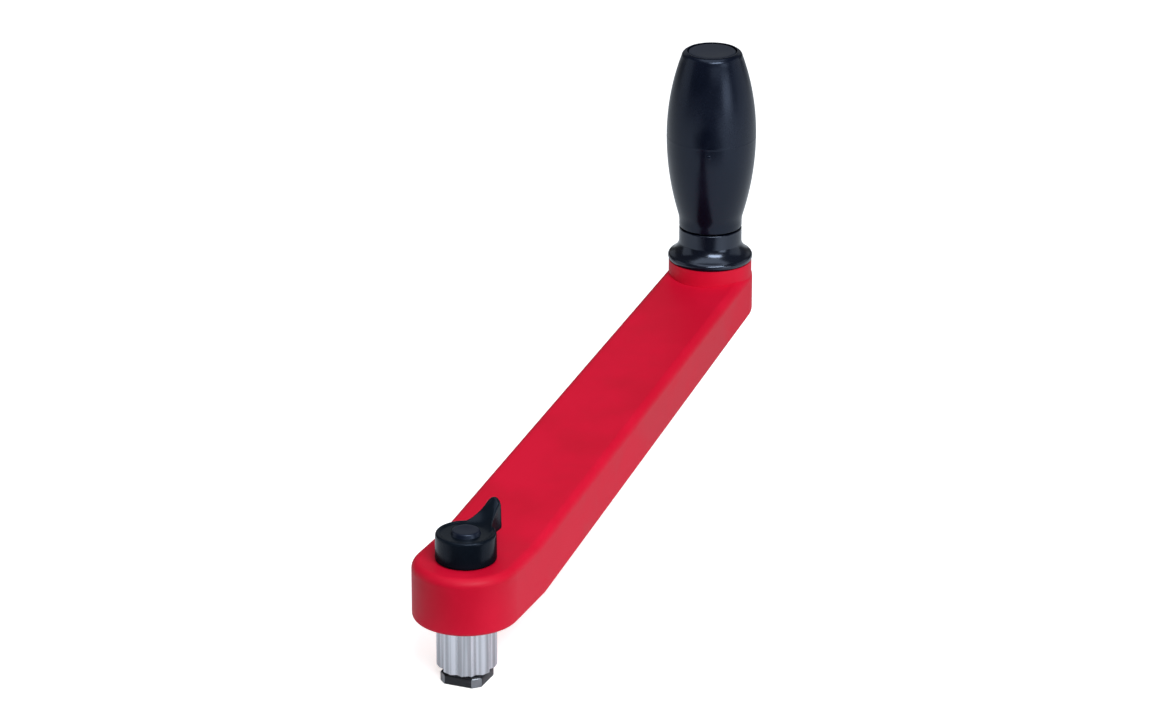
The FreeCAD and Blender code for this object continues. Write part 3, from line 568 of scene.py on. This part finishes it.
def seats(node, out):
    """Centre of the outermost face of each separate fastener in a node, looking along out."""
    clusters = []
    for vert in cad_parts[node].data.vertices:
        for members in clusters:
            if (members[0] - vert.co).length < 13 * MM:
                members.append(vert.co.copy())
                break
        else:
            clusters.append([vert.co.copy()])
    found = []
    for members in clusters:
        reach = max(point.dot(out) for point in members)
        face = [point for point in members if point.dot(out) > reach - 0.05 * MM]
        found.append(sum(face, Vector()) / len(face))
    return found


def finish_piece(bm, name, material, body, replaced=(), crease=38.0):
    """Make a mesh object, shade it, give it its finish and hand it to its body, if it rides on just one."""
    limit = math.radians(crease)
    for face in bm.faces:
        face.smooth = True
    for edge in bm.edges:
        edge.smooth = len(edge.link_faces) == 2 and edge.calc_face_angle(0.0) < limit
    piece = as_object(bm, name)
    piece.data.materials.append(material)
    if body:
        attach(piece, body)
    if replaced:
        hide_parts(*replaced)
    return piece


FINISHES = {}


def finish(name):
    """A finish by name; all are made at the first call."""
    if not FINISHES:
        FINISHES.update(make_finishes())
    return FINISHES[name]


# ---------------------------------------------------------------- pieces


class BuildGrip(bpy.types.Operator):
    """Turn the barrel, its collar and its end disc"""

    bl_idname = "winch_handle.grip"
    bl_label = "Grip"

    def execute(self, context):
        self.barrel(settings("grip"))
        self.collar(settings("grip"))
        self.end_disc(settings("grip"))
        return {"FINISHED"}

    def barrel(self, s):
        low, high = (corner.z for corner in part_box("grip_sleeve"))
        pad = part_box("grip_collar")[0].z
        belly = pad + s.belly_h
        meet = belly - math.sqrt(s.low_curve ** 2 - (s.low_curve - s.belly_r + s.neck_r) ** 2)
        shoulder = high - s.rim_round
        shoulder_r = s.belly_r - s.top_curve + math.sqrt(s.top_curve ** 2 - (shoulder - belly) ** 2)
        bore = s.pocket_r - 2.0 * MM
        profile = Profile(s.pocket_r - 0.7 * MM, low)
        profile.line(s.neck_r - 0.45 * MM, low)
        profile.arc(s.neck_r, low + 0.45 * MM, 0.45 * MM, 4)
        profile.line(s.neck_r, meet - 1.2 * MM)
        start = belly - (belly - meet) * 0.94
        start_r = s.belly_r - s.low_curve + math.sqrt(s.low_curve ** 2 - (start - belly) ** 2)
        profile.arc(start_r, start, -14.0 * MM, 6)
        under = pad + s.seam_h - 0.9 * MM
        under_r = s.belly_r - s.low_curve + math.sqrt(s.low_curve ** 2 - (under - belly) ** 2)
        profile.arc(under_r, under, s.low_curve, 20)
        self.seam(profile, s, pad)
        profile.arc(shoulder_r, shoulder, s.top_curve, 20)
        profile.arc(shoulder_r - s.rim_round * 1.05, high, s.rim_round * 1.15, 8)
        profile.line(s.pocket_r + 0.25 * MM, high)
        profile.line(s.pocket_r, high - 0.25 * MM)
        profile.line(s.pocket_r, high - 6.0 * MM)
        profile.line(bore, high - 6.0 * MM)
        profile.line(bore, low + 2.0 * MM)
        profile.line(s.pocket_r - 0.7 * MM, low + 2.0 * MM)
        bm = profile.turned(s.steps, AXIS_X)
        self.gate_mark(bm, s, pad)
        finish_piece(bm, "grip_barrel", finish("grip_black"), "grip", ["grip_sleeve"])

    def seam(self, profile, s, pad):
        """Hairline ridge where the mould's halves met, round the belly."""
        z = pad + s.seam_h
        flank = ((-0.9, 0.0), (-0.3, 0.0), (-0.12, 0.035), (0.12, 0.035), (0.3, 0.0), (0.9, 0.0))
        for rise, proud in flank:
            profile.line(s.belly_r + proud * MM, z + rise * MM)

    def gate_mark(self, bm, s, pad):
        """Small round scar left by the mould's gate, just under the seam."""
        mark = bmesh.ops.create_uvsphere(bm, u_segments=24, v_segments=12, radius=1.15 * MM)["verts"]
        bmesh.ops.scale(bm, verts=mark, vec=(0.2, 1.0, 0.8))
        bmesh.ops.translate(bm, verts=mark, vec=(s.belly_r - 0.05 * MM, 0, pad + s.seam_h - 3.4 * MM))
        turn = Matrix.Rotation(math.radians(197.5), 3, "Z")
        bmesh.ops.rotate(bm, verts=mark, cent=(0, 0, 0), matrix=turn)
        bmesh.ops.translate(bm, verts=mark, vec=(AXIS_X, 0, 0))

    def collar(self, s):
        low, high = (corner.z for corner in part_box("grip_collar"))
        foot = s.foot_r
        bore = 5.2 * MM
        profile = Profile(bore, low)
        profile.line(foot - 0.9 * MM, low)
        profile.arc(foot - 0.7 * MM, low + 3.0 * MM, 1.7 * MM, 12)
        profile.arc(s.neck_r, low + 8.0 * MM, -7.4 * MM, 12)
        profile.line(s.neck_r, high - 0.4 * MM)
        profile.arc(s.neck_r - 0.4 * MM, high, 0.4 * MM, 4)
        profile.line(bore, high)
        bm = profile.turned(s.steps, AXIS_X)
        finish_piece(bm, "grip_foot", finish("collar_black"), "arm", ["grip_collar"])

    def end_disc(self, s):
        low, high = (corner.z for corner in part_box("grip_end_cap"))
        edge = s.pocket_r - 0.7 * MM
        profile = Profile(0.0, low)
        profile.line(s.pocket_r, low)
        profile.line(s.pocket_r, low + 2.0 * MM)
        profile.line(edge, low + 2.0 * MM)
        profile.line(edge, high - 0.7 * MM)
        profile.arc(edge - 0.7 * MM, high, 0.75 * MM, 5)
        profile.line(edge - 1.5 * MM, high)
        profile.arc(0.0, high - 0.22 * MM, -200.0 * MM, 8)
        bm = profile.turned(s.steps, AXIS_X)
        finish_piece(bm, "grip_end_disc", finish("cap_black"), "grip", ["grip_end_cap"])


SMOOTHING_PASSES = 14


class BuildLever(bpy.types.Operator):
    """Mould the lock lever with its thumb tab, and the button over its screw"""

    bl_idname = "winch_handle.lever"
    bl_label = "Lock lever"

    def execute(self, context):
        s = settings("lever")
        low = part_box("lock_lever")[0].z
        top = low + s.drum_top
        bm = self.drum(s, low, top)
        add_to(bm, self.tab(s, low, top))
        bm = reworked(bm, [("REMESH", {"mode": "VOXEL", "voxel_size": s.grain, "adaptivity": 0.0})])
        for _ in range(SMOOTHING_PASSES):
            bmesh.ops.smooth_vert(
                bm, verts=bm.verts, factor=0.5, use_axis_x=True, use_axis_y=True, use_axis_z=True,
            )
        for vert in bm.verts:
            vert.co.z = max(vert.co.z, low)
        bmesh.ops.rotate(bm, verts=bm.verts, cent=(0, 0, 0), matrix=Matrix.Rotation(s.rest, 3, "Z"))
        finish_piece(bm, "lever_body", finish("lever_black"), "lock", ["lock_lever"], 80.0)
        self.button(s)
        return {"FINISHED"}

    def drum(self, s, low, top):
        r = s.drum_r
        profile = Profile(0.0, low)
        profile.line(r, low)
        profile.line(r - 0.1 * MM, top - s.shoulder)
        profile.arc(r - s.shoulder, top, s.shoulder, 8)
        profile.line(r - s.shoulder - s.lip, top)
        profile.line(r - s.shoulder - s.lip - 0.5 * MM, top - s.dish * 0.8)
        profile.line(s.cap_r, top - s.dish)
        profile.line(0.0, top - s.dish)
        return profile.turned(96)

    def tab(self, s, low, top):
        """Thumb tab from a sheet bent to its swept top, hollowed along the middle and drawn down."""
        bm = bmesh.new()
        bmesh.ops.create_grid(bm, x_segments=56, y_segments=24, size=1.0)
        root = s.drum_r * 0.3
        for vert in bm.verts:
            along = math.sin((vert.co.x + 1) / 2 * math.pi / 2)
            x = root + (s.reach - root) * along
            across = vert.co.y
            hollow = s.hollow * (1 - across ** 2) * math.sin(math.pi * min(along * 1.15, 1.0))
            crown = s.crown * across ** 2 * along ** 2.5
            half = self.half_width(s, x, root)
            vert.co = (x, across * half * 0.94, self.sweep(s, x, root, top) - hollow - crown)
        grown = bmesh.ops.extrude_face_region(bm, geom=bm.faces[:])["geom"]
        for vert in grown:
            if isinstance(vert, bmesh.types.BMVert):
                vert.co.y *= 1.12
                vert.co.z = low + s.under
        bmesh.ops.recalc_face_normals(bm, faces=bm.faces)
        return bm

    def half_width(self, s, x, root):
        """Half the tab's width: waisted from the drum's side to the round tip."""
        tip_x = s.reach - s.tip_r
        if x > tip_x:
            return math.sqrt(max(s.tip_r ** 2 - (x - tip_x) ** 2, 0.0)) + 0.02 * MM
        part = (x - root) / (tip_x - root)
        side = s.drum_r * 0.8
        sag = ((tip_x - root) ** 2 + (side - s.tip_r) ** 2) / (8 * s.flank_r)
        return side + (s.tip_r - side) * part - 4 * sag * part * (1 - part)

    def sweep(self, s, x, root, top):
        """Height of the tab's top: a rising curve to the crest, then a rounded brow."""
        crest = s.reach - 2.8 * MM
        if x < crest:
            return top - 0.6 * MM + (s.rise + 0.6 * MM) * ((x - root) / (crest - root)) ** 1.8
        over = min((x - crest) / (s.reach - crest), 1.0)
        return top + s.rise - 3.2 * MM * (1 - math.sqrt(1 - over ** 2))

    def button(self, s):
        low, high = (corner.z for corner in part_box("lever_cap"))
        r = s.cap_r
        profile = Profile(0.0, low)
        profile.line(r, low)
        profile.line(r, high - 2.0 * MM)
        profile.line(r + 0.7 * MM, high - 2.0 * MM)
        profile.line(r + 0.1 * MM, high - 0.5 * MM)
        profile.arc(r - 0.5 * MM, high, 0.6 * MM, 4)
        profile.line(r - 1.3 * MM, high)
        profile.arc(0.0, high - 0.18 * MM, -90.0 * MM, 6)
        bm = profile.turned(72)
        finish_piece(bm, "lever_button", finish("cap_black"), "lock", ["lever_cap"])


class BuildDrive(bpy.types.Operator):
    """Machine the star drive with its flange, and the lock plate at its foot"""

    bl_idname = "winch_handle.drive"
    bl_label = "Star drive and lock plate"

    def execute(self, context):
        s = settings("drive")
        self.star(s)
        self.plate(s)
        return {"FINISHED"}

    def star(self, s):
        low, high = (corner.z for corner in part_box("drive_star"))
        flange = high - 5.0 * MM
        half = s.flats / 2
        cut = 45.0 - math.degrees(math.acos(half / s.tip_r))
        valley = half / math.cos(math.radians(22.5))
        corners = []
        for point in range(8):
            turn = 45.0 * point
            corners += [(valley, turn), (s.tip_r, turn + 22.5 - cut), (s.tip_r, turn + 22.5 + cut)]
        bm = prism(corners, low, 1.0 * MM)
        bm = carved(bm, [self.foot_cone(s, low, high)], "INTERSECT")
        disc = Profile(0.0, 0.0).line(s.flange_r, 0.0).line(s.flange_r, flange).line(0.0, flange)
        bm = carved(bm, [disc.turned(96)], "UNION")
        bore = Profile(0.0, low - MM).line(s.bore_r + 0.05 * MM, low - MM)
        bore = bore.line(s.bore_r + 0.05 * MM, low + 0.7 * MM).line(s.bore_r - 1.45 * MM, low + 0.7 * MM)
        bore = bore.line(s.bore_r - 1.45 * MM, high).line(0.0, high)
        tools = [bore.turned(64)]
        for place in seats("drive_screws", Vector((0, 0, -1))):
            sink = Profile(0.0, -MM).line(2.25 * MM, -MM).line(2.25 * MM, 0.1 * MM)
            sink = sink.line(1.5 * MM, 1.6 * MM).line(1.5 * MM, high).line(0.0, high).turned(32)
            bmesh.ops.translate(sink, verts=sink.verts, vec=(place.x, place.y, 0))
            tools.append(sink)
        bm = softened(carved(bm, tools), s.soft)
        finish_piece(bm, "star_drive", finish("star_bright"), "arm", ["drive_star"], 34.0)

    def foot_cone(self, s, low, high):
        """Envelope that slopes the star's points at its foot."""
        profile = Profile(0.0, low).line(s.tip_r - 0.9 * MM, low).line(s.tip_r + 0.1 * MM, low + MM)
        return profile.line(s.tip_r + 0.1 * MM, high).line(0.0, high).turned(96)

    def plate(self, s):
        low, high = (corner.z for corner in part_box("lock_plate"))
        bm = prism(polygon(s.plate_flats, 4, 45.0), low, high)
        bm = carved(bm, [prism(polygon(2 * s.plate_corner, 4), low - MM, high + MM)], "INTERSECT")
        bmesh.ops.dissolve_limit(bm, angle_limit=math.radians(1), verts=bm.verts, edges=bm.edges)
        rim = [e for e in bm.edges if all(v.co.z > high - 1e-6 for v in e.verts)]
        chamfered(bm, rim, s.plate_bevel)
        head = Profile(0.0, low - MM).line(4.95 * MM, low - MM).line(4.95 * MM, low + 1.8 * MM)
        bm = carved(bm, [head.line(0.0, low + 1.8 * MM).turned(48)])
        bm = softened(bm, s.soft)
        finish_piece(bm, "lock_foot", finish("plate_dark"), "lock", ["lock_plate"], 34.0)


class BuildSpring(bpy.types.Operator):
    """Wind the lock's return spring, which twists between the cam and the head"""

    bl_idname = "winch_handle.spring"
    bl_label = "Return spring"

    def execute(self, context):
        s = settings("drive")
        low, high = (corner.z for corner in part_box("return_spring"))
        z0, z1 = low + s.spring_leg, high - s.spring_leg
        bend = s.spring_bend
        trim = bend / s.spring_r
        sweep = s.spring_turns * math.tau - 2 * trim
        bm = bmesh.new()
        ring = bmesh.ops.create_circle(bm, segments=14, radius=s.wire_r)["verts"]
        bmesh.ops.translate(bm, verts=ring, vec=(s.spring_r, 0, low))
        edges = self.drawn_up(bm, bm.edges[:], z0 - bend - low)
        edges = self.turned(bm, edges, (0, bend, z0 - bend), (-1, 0, 0), math.pi / 2, 5)
        steps = 60 * s.spring_turns
        edges = self.turned(bm, edges, (0, 0, 0), (0, 0, 1), sweep, steps, (z1 - z0) / steps)
        out = Matrix.Rotation(-trim, 3, "Z") @ Vector((1, 0, 0))
        edges = self.turned(bm, edges, (0, 0, z1 + bend), out, math.pi / 2, 5)
        self.drawn_up(bm, edges, high - z1 - bend)
        bmesh.ops.holes_fill(bm, edges=[e for e in bm.edges if e.is_boundary], sides=0)
        bmesh.ops.recalc_face_normals(bm, faces=bm.faces)
        rest = Matrix.Rotation(settings("lever").rest, 3, "Z")
        bmesh.ops.rotate(bm, verts=bm.verts, cent=(0, 0, 0), matrix=rest)
        wire = finish("spring_wire")
        wound = finish_piece(bm, "spring_coil", wire, None, ["return_spring"])
        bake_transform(wound)
        return {"FINISHED"}

    def drawn_up(self, bm, edges, rise):
        """Draw the wire's ring straight up and give the new ring."""
        grown = bmesh.ops.extrude_edge_only(bm, edges=edges)["geom"]
        tops = [g for g in grown if isinstance(g, bmesh.types.BMVert)]
        bmesh.ops.translate(bm, verts=tops, vec=(0, 0, rise))
        return [g for g in grown if isinstance(g, bmesh.types.BMEdge) and all(v in tops for v in g.verts)]

    def turned(self, bm, edges, centre, axis, angle, steps, climb=0.0):
        """Carry the wire's ring round an axis, climbing a little at each step, and give the last ring."""
        verts = list({vert for edge in edges for vert in edge.verts})
        grown = bmesh.ops.spin(
            bm, geom=verts + edges, cent=centre, axis=axis, dvec=(0, 0, climb),
            angle=angle, steps=steps, use_merge=False,
        )["geom_last"]
        return [g for g in grown if isinstance(g, bmesh.types.BMEdge)]


class BuildFasteners(bpy.types.Operator):
    """Make the screws seen from below with their drive recesses, and the spindle's nut"""

    bl_idname = "winch_handle.fasteners"
    bl_label = "Screws and nut"

    def execute(self, context):
        lean = self.underside_lean(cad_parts["arm_cover"])
        out = Vector((math.sin(lean), 0, -math.cos(lean)))
        self.countersunk("cover_screws", "cover_screw_heads", out, 3.15)
        self.countersunk("drive_screws", "drive_screw_heads", Vector((0, 0, -1)), 2.05)
        self.plate_bolt()
        self.nut()
        return {"FINISHED"}

    def underside_lean(self, cover):
        """Slope of the cover, from its nearest and farthest outer edges."""
        points = [vert.co for vert in cover.data.vertices]
        near = min(points, key=lambda point: point.z)
        far = max(points, key=lambda point: point.x - point.z)
        return math.atan2(far.z - near.z, far.x - near.x)

    def countersunk(self, node, name, out, head_r):
        """A head with a cross recess at the seat of each screw."""
        whole = bmesh.new()
        turn = Vector((0, 0, -1)).rotation_difference(out).to_matrix()
        for index, place in enumerate(seats(node, out)):
            one = self.cross_head(head_r * MM, index * 0.7)
            bmesh.ops.rotate(one, verts=one.verts, cent=(0, 0, 0), matrix=turn)
            bmesh.ops.translate(one, verts=one.verts, vec=place)
            add_to(whole, one)
        finish_piece(whole, name, finish("steel_fastener"), "arm", [node], 34.0)

    def cross_head(self, r, turn):
        """Countersunk head, face down at z = 0, with a tapered cross and a short shank."""
        profile = Profile(0.0, 0.0).line(r - 0.15 * MM, 0.0).line(r, 0.15 * MM)
        profile = profile.line(r * 0.5, r * 0.55).line(r * 0.5, 6 * MM).line(0.0, 6 * MM)
        bm = profile.turned(40)
        arms = []
        for angle in (turn, turn + math.pi / 2):
            blade = bmesh.new()
            bmesh.ops.create_cube(blade, size=1.0)
            bmesh.ops.scale(blade, verts=blade.verts, vec=(r * 1.15, r * 0.24, r * 0.9))
            for vert in blade.verts:
                if vert.co.z > 0:
                    vert.co.x *= 0.45
            matrix = Matrix.Rotation(angle, 3, "Z")
            bmesh.ops.rotate(blade, verts=blade.verts, cent=(0, 0, 0), matrix=matrix)
            arms.append(blade)
        return softened(carved(bm, arms), 0.04 * MM, 30.0, 1)

    def plate_bolt(self):
        """Cap screw under the lock plate with a hexagon socket."""
        low, high = (corner.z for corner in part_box("plate_screw"))
        profile = Profile(0.0, low).line(4.4 * MM, low).line(4.8 * MM, low + 0.4 * MM)
        profile = profile.line(4.8 * MM, low + 1.8 * MM).line(2 * MM, low + 1.8 * MM)
        profile = profile.line(2 * MM, high).line(0.0, high)
        bm = carved(profile.turned(56), [prism(polygon(4 * MM, 6), low - MM, low + 1.3 * MM)])
        bm = softened(bm, 0.08 * MM, 30.0, 1)
        steel = finish("steel_fastener")
        finish_piece(bm, "plate_bolt", steel, "lock", ["plate_screw"], 34.0)

    def nut(self):
        """Hexagon nut with turned corners, threaded over the grip's spindle."""
        low, high = (corner.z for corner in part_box("spindle_nut"))
        bm = prism(polygon(16 * MM, 6), low, high)
        barrel = Profile(0.0, low).line(7.9 * MM, low).line(9.4 * MM, low + 0.8 * MM)
        barrel = barrel.line(9.4 * MM, high - 0.8 * MM).line(7.9 * MM, high).line(0.0, high)
        bm = carved(bm, [barrel.turned(72)], "INTERSECT")
        bore = Profile(0.0, low - MM).line(5.7 * MM, low - MM).line(5.0 * MM, low + 0.7 * MM)
        bm = carved(bm, [bore.line(5.0 * MM, high + MM).line(0.0, high + MM).turned(48)])
        bmesh.ops.translate(bm, verts=bm.verts, vec=(AXIS_X, 0, 0))
        bm = softened(bm, 0.1 * MM, 30.0, 1)
        steel = finish("steel_fastener")
        finish_piece(bm, "grip_nut", steel, "arm", ["spindle_nut"], 34.0)


NODE_FINISH = {
    "arm_shell": "arm_red", "arm_cover": "arm_red", "cover_screws": "steel_fastener",
    "foam_core": "foam_buff", "drive_star": "star_bright", "drive_screws": "steel_fastener",
    "stop_pins": "steel_turned", "lower_bush": "bush_white", "upper_bush": "bush_white",
    "spindle_seal": "seal_rubber", "lock_spindle": "steel_turned", "lock_cam": "steel_turned",
    "cam_pin": "steel_turned", "return_spring": "spring_wire", "lock_plate": "plate_dark",
    "plate_screw": "steel_fastener", "lock_lever": "lever_black", "lever_screw": "steel_fastener",
    "lever_cap": "cap_black", "grip_spindle": "steel_turned", "spindle_washer": "steel_fastener",
    "spindle_nut": "steel_fastener", "grip_bush_lower": "bush_white",
    "grip_bush_upper": "bush_white", "grip_washer": "steel_fastener",
    "grip_screw": "steel_fastener", "grip_collar": "collar_black", "grip_sleeve": "grip_black",
    "grip_end_cap": "cap_black",
}


class FinishNodes(bpy.types.Operator):
    """Give every carried-over part its finish"""

    bl_idname = "winch_handle.node_finishes"
    bl_label = "Part finishes"

    def execute(self, context):
        for name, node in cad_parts.items():
            node.data.materials.clear()
            node.data.materials.append(finish(NODE_FINISH[name]))
        return {"FINISHED"}


class BuildStage(bpy.types.Operator):
    """Set the pale floor, the soft studio light and the camera"""

    bl_idname = "winch_handle.stage"
    bl_label = "Stage"

    def execute(self, context):
        s = settings("stage")
        self.camera(context, s)
        self.floor()
        self.dark_card(s)
        self.lights(s)
        self.surroundings(context)
        return {"FINISHED"}

    def camera(self, context, s):
        ahead = Vector(
            (math.cos(s.yaw) * math.cos(s.pitch), math.sin(s.yaw) * math.cos(s.pitch), -math.sin(s.pitch))
        )
        right = Vector((math.sin(s.yaw), -math.cos(s.yaw), 0))
        up = right.cross(ahead)
        middle = Vector((AXIS_X / 2, 0, 0))
        place = middle - ahead * s.distance + right * s.side + up * s.rise
        data = bpy.data.cameras.new("camera")
        data.lens = s.lens
        data.sensor_width = 36.0
        data.clip_end = 20.0
        camera = bpy.data.objects.new("camera", data)
        turn = Matrix((right, up, -ahead)).transposed()
        camera.matrix_world = Matrix.Translation(place) @ turn.to_4x4()
        context.scene.collection.objects.link(camera)
        context.scene.camera = camera

    def floor(self):
        """A pale floor under the handle, a little brighter to look at and open from below."""
        bm = bmesh.new()
        bmesh.ops.create_grid(bm, x_segments=1, y_segments=1, size=6.0)
        bmesh.ops.translate(bm, verts=bm.verts, vec=(0, 0, CAD_BOX[0][2] - 0.0002))
        floor = as_object(bm, "floor")
        material, tree, shader, place = blank("floor_pale")
        seen = tree.nodes.new("ShaderNodeLightPath").outputs["Is Camera Ray"]
        below = tree.nodes.new("ShaderNodeNewGeometry").outputs["Backfacing"]
        pale = mixed(tree, noise(tree, place, 3.0), (0.88, 0.88, 0.88), (0.9, 0.9, 0.9))
        glow = mixed(tree, seen, (0.0, 0.0, 0.0), (0.70, 0.68, 0.66))
        tree.links.new(pale, shader.inputs["Base Color"])
        tree.links.new(glow, shader.inputs["Emission Color"])
        shader.inputs["Emission Strength"].default_value = 1.0
        tree.links.new(maths(tree, "SUBTRACT", 1.0, below), shader.inputs["Alpha"])
        shader.inputs["Roughness"].default_value = 1.0
        shader.inputs["Specular IOR Level"].default_value = 0.0
        floor.data.materials.append(material)

    def dark_card(self, s):
        """Black card on the floor between viewer and handle, there only to be mirrored: a dark sheet that
        puts painted shade into the glossy parts' reflections.
        """
        bm = bmesh.new()
        bmesh.ops.create_grid(bm, x_segments=1, y_segments=1, size=1.0)
        bmesh.ops.scale(bm, verts=bm.verts, vec=(0.6, 0.3, 1.0))
        bmesh.ops.translate(bm, verts=bm.verts, vec=(-0.675, 0, CAD_BOX[0][2] + 0.0005))
        bmesh.ops.rotate(bm, verts=bm.verts, cent=(0, 0, 0), matrix=Matrix.Rotation(s.yaw, 3, "Z"))
        card = as_object(bm, "dark_card")
        material, tree, shader, place = blank("card_black")
        # Near-black card tone with slight random variation: painted shade, seen only in reflections and
        # bounced light.
        card_shade_tone = mixed(tree, noise(tree, place, 9.0), (0.02, 0.02, 0.02), (0.03, 0.03, 0.03))
        tree.links.new(card_shade_tone, shader.inputs["Base Color"])
        shader.inputs["Roughness"].default_value = 1.0
        shader.inputs["Specular IOR Level"].default_value = 0.0
        card.data.materials.append(material)
        card.visible_camera = False
        card.visible_shadow = False

    def lights(self, s):
        """Soft boxes round the handle: name, heading from the viewer's side (right is positive) and height
        in degrees, reach and size in metres, and power."""
        self.soft_box(s, "key_box", 20, 42, 1.6, (1.1, 0.45), 23.0)
        self.soft_box(s, "front_box", 46, 8, 1.7, (0.7, 0.45), 3.4)
        self.soft_box(s, "right_box", 100, 14, 1.5, (1.2, 0.9), 1.6)
        self.soft_box(s, "left_box", -95, 18, 1.5, (1.0, 1.0), 1.7)
        self.soft_box(s, "back_box", 180, 24, 1.8, (2.2, 0.8), 1.2)
        self.soft_box(s, "top_box", 0, 82, 1.6, (1.5, 1.5), 11.5)

    def soft_box(self, s, name, heading, height, reach, size, power):
        target = Vector((AXIS_X / 2, 0, 0.04))
        turn = s.yaw + math.pi + math.radians(heading)
        tilt = math.radians(height)
        way = Vector((math.cos(turn) * math.cos(tilt), math.sin(turn) * math.cos(tilt), math.sin(tilt)))
        data = bpy.data.lights.new(name, "AREA")
        data.shape = "RECTANGLE"
        data.size, data.size_y = size
        data.energy = power
        data.color = (0.84, 0.92, 1.0)
        lamp = bpy.data.objects.new(name, data)
        lamp.location = target + way * reach
        lamp.rotation_euler = (-way).to_track_quat("-Z", "Y").to_euler()
        lamp.visible_camera = False
        bpy.context.scene.collection.objects.link(lamp)

    def surroundings(self, context):
        """White to look at, dim in reflections."""
        world = bpy.data.worlds.new("studio")
        world.use_nodes = True
        tree = world.node_tree
        seen = tree.nodes.new("ShaderNodeLightPath").outputs["Is Camera Ray"]
        tone = ramp(tree, seen, 0.0, 1.0, 0.07, 1.0)
        tree.links.new(tone, tree.nodes["Background"].inputs["Strength"])
        tree.nodes["Background"].inputs["Color"].default_value = (1.0, 1.0, 1.0, 1.0)
        context.scene.world = world
        context.scene.view_settings.view_transform = "Standard"


class WinchHandlePanel(bpy.types.Panel):
    """Lists the handle's builders and sizes"""

    bl_idname = "VIEW3D_PT_winch_handle"
    bl_label = "Winch handle"
    bl_space_type = "VIEW_3D"
    bl_region_type = "UI"
    bl_category = "Winch handle"

    def draw(self, context):
        for operator in OPERATORS:
            self.layout.operator(operator.bl_idname)
        for kind, group in SETTINGS.items():
            box = self.layout.box()
            box.label(text=kind.capitalize())
            for name in group.__annotations__:
                box.prop(settings(kind), name)


OPERATORS = (
    FinishNodes, BuildGrip, BuildLever, BuildDrive, BuildSpring, BuildFasteners, BuildStage,
)
CLASSES = (*SETTINGS.values(), *OPERATORS, WinchHandlePanel)


def register():
    for cls in CLASSES:
        bpy.utils.register_class(cls)
    for kind, group in SETTINGS.items():
        setattr(bpy.types.Scene, "winch_handle_" + kind, PointerProperty(type=group))


def unregister():
    for kind in SETTINGS:
        delattr(bpy.types.Scene, "winch_handle_" + kind)
    for cls in reversed(CLASSES):
        bpy.utils.unregister_class(cls)


def main():
    register()
    for operator in OPERATORS:
        group, name = operator.bl_idname.split(".")
        getattr(getattr(bpy.ops, group), name)()


if __name__ == "__main__":
    main()
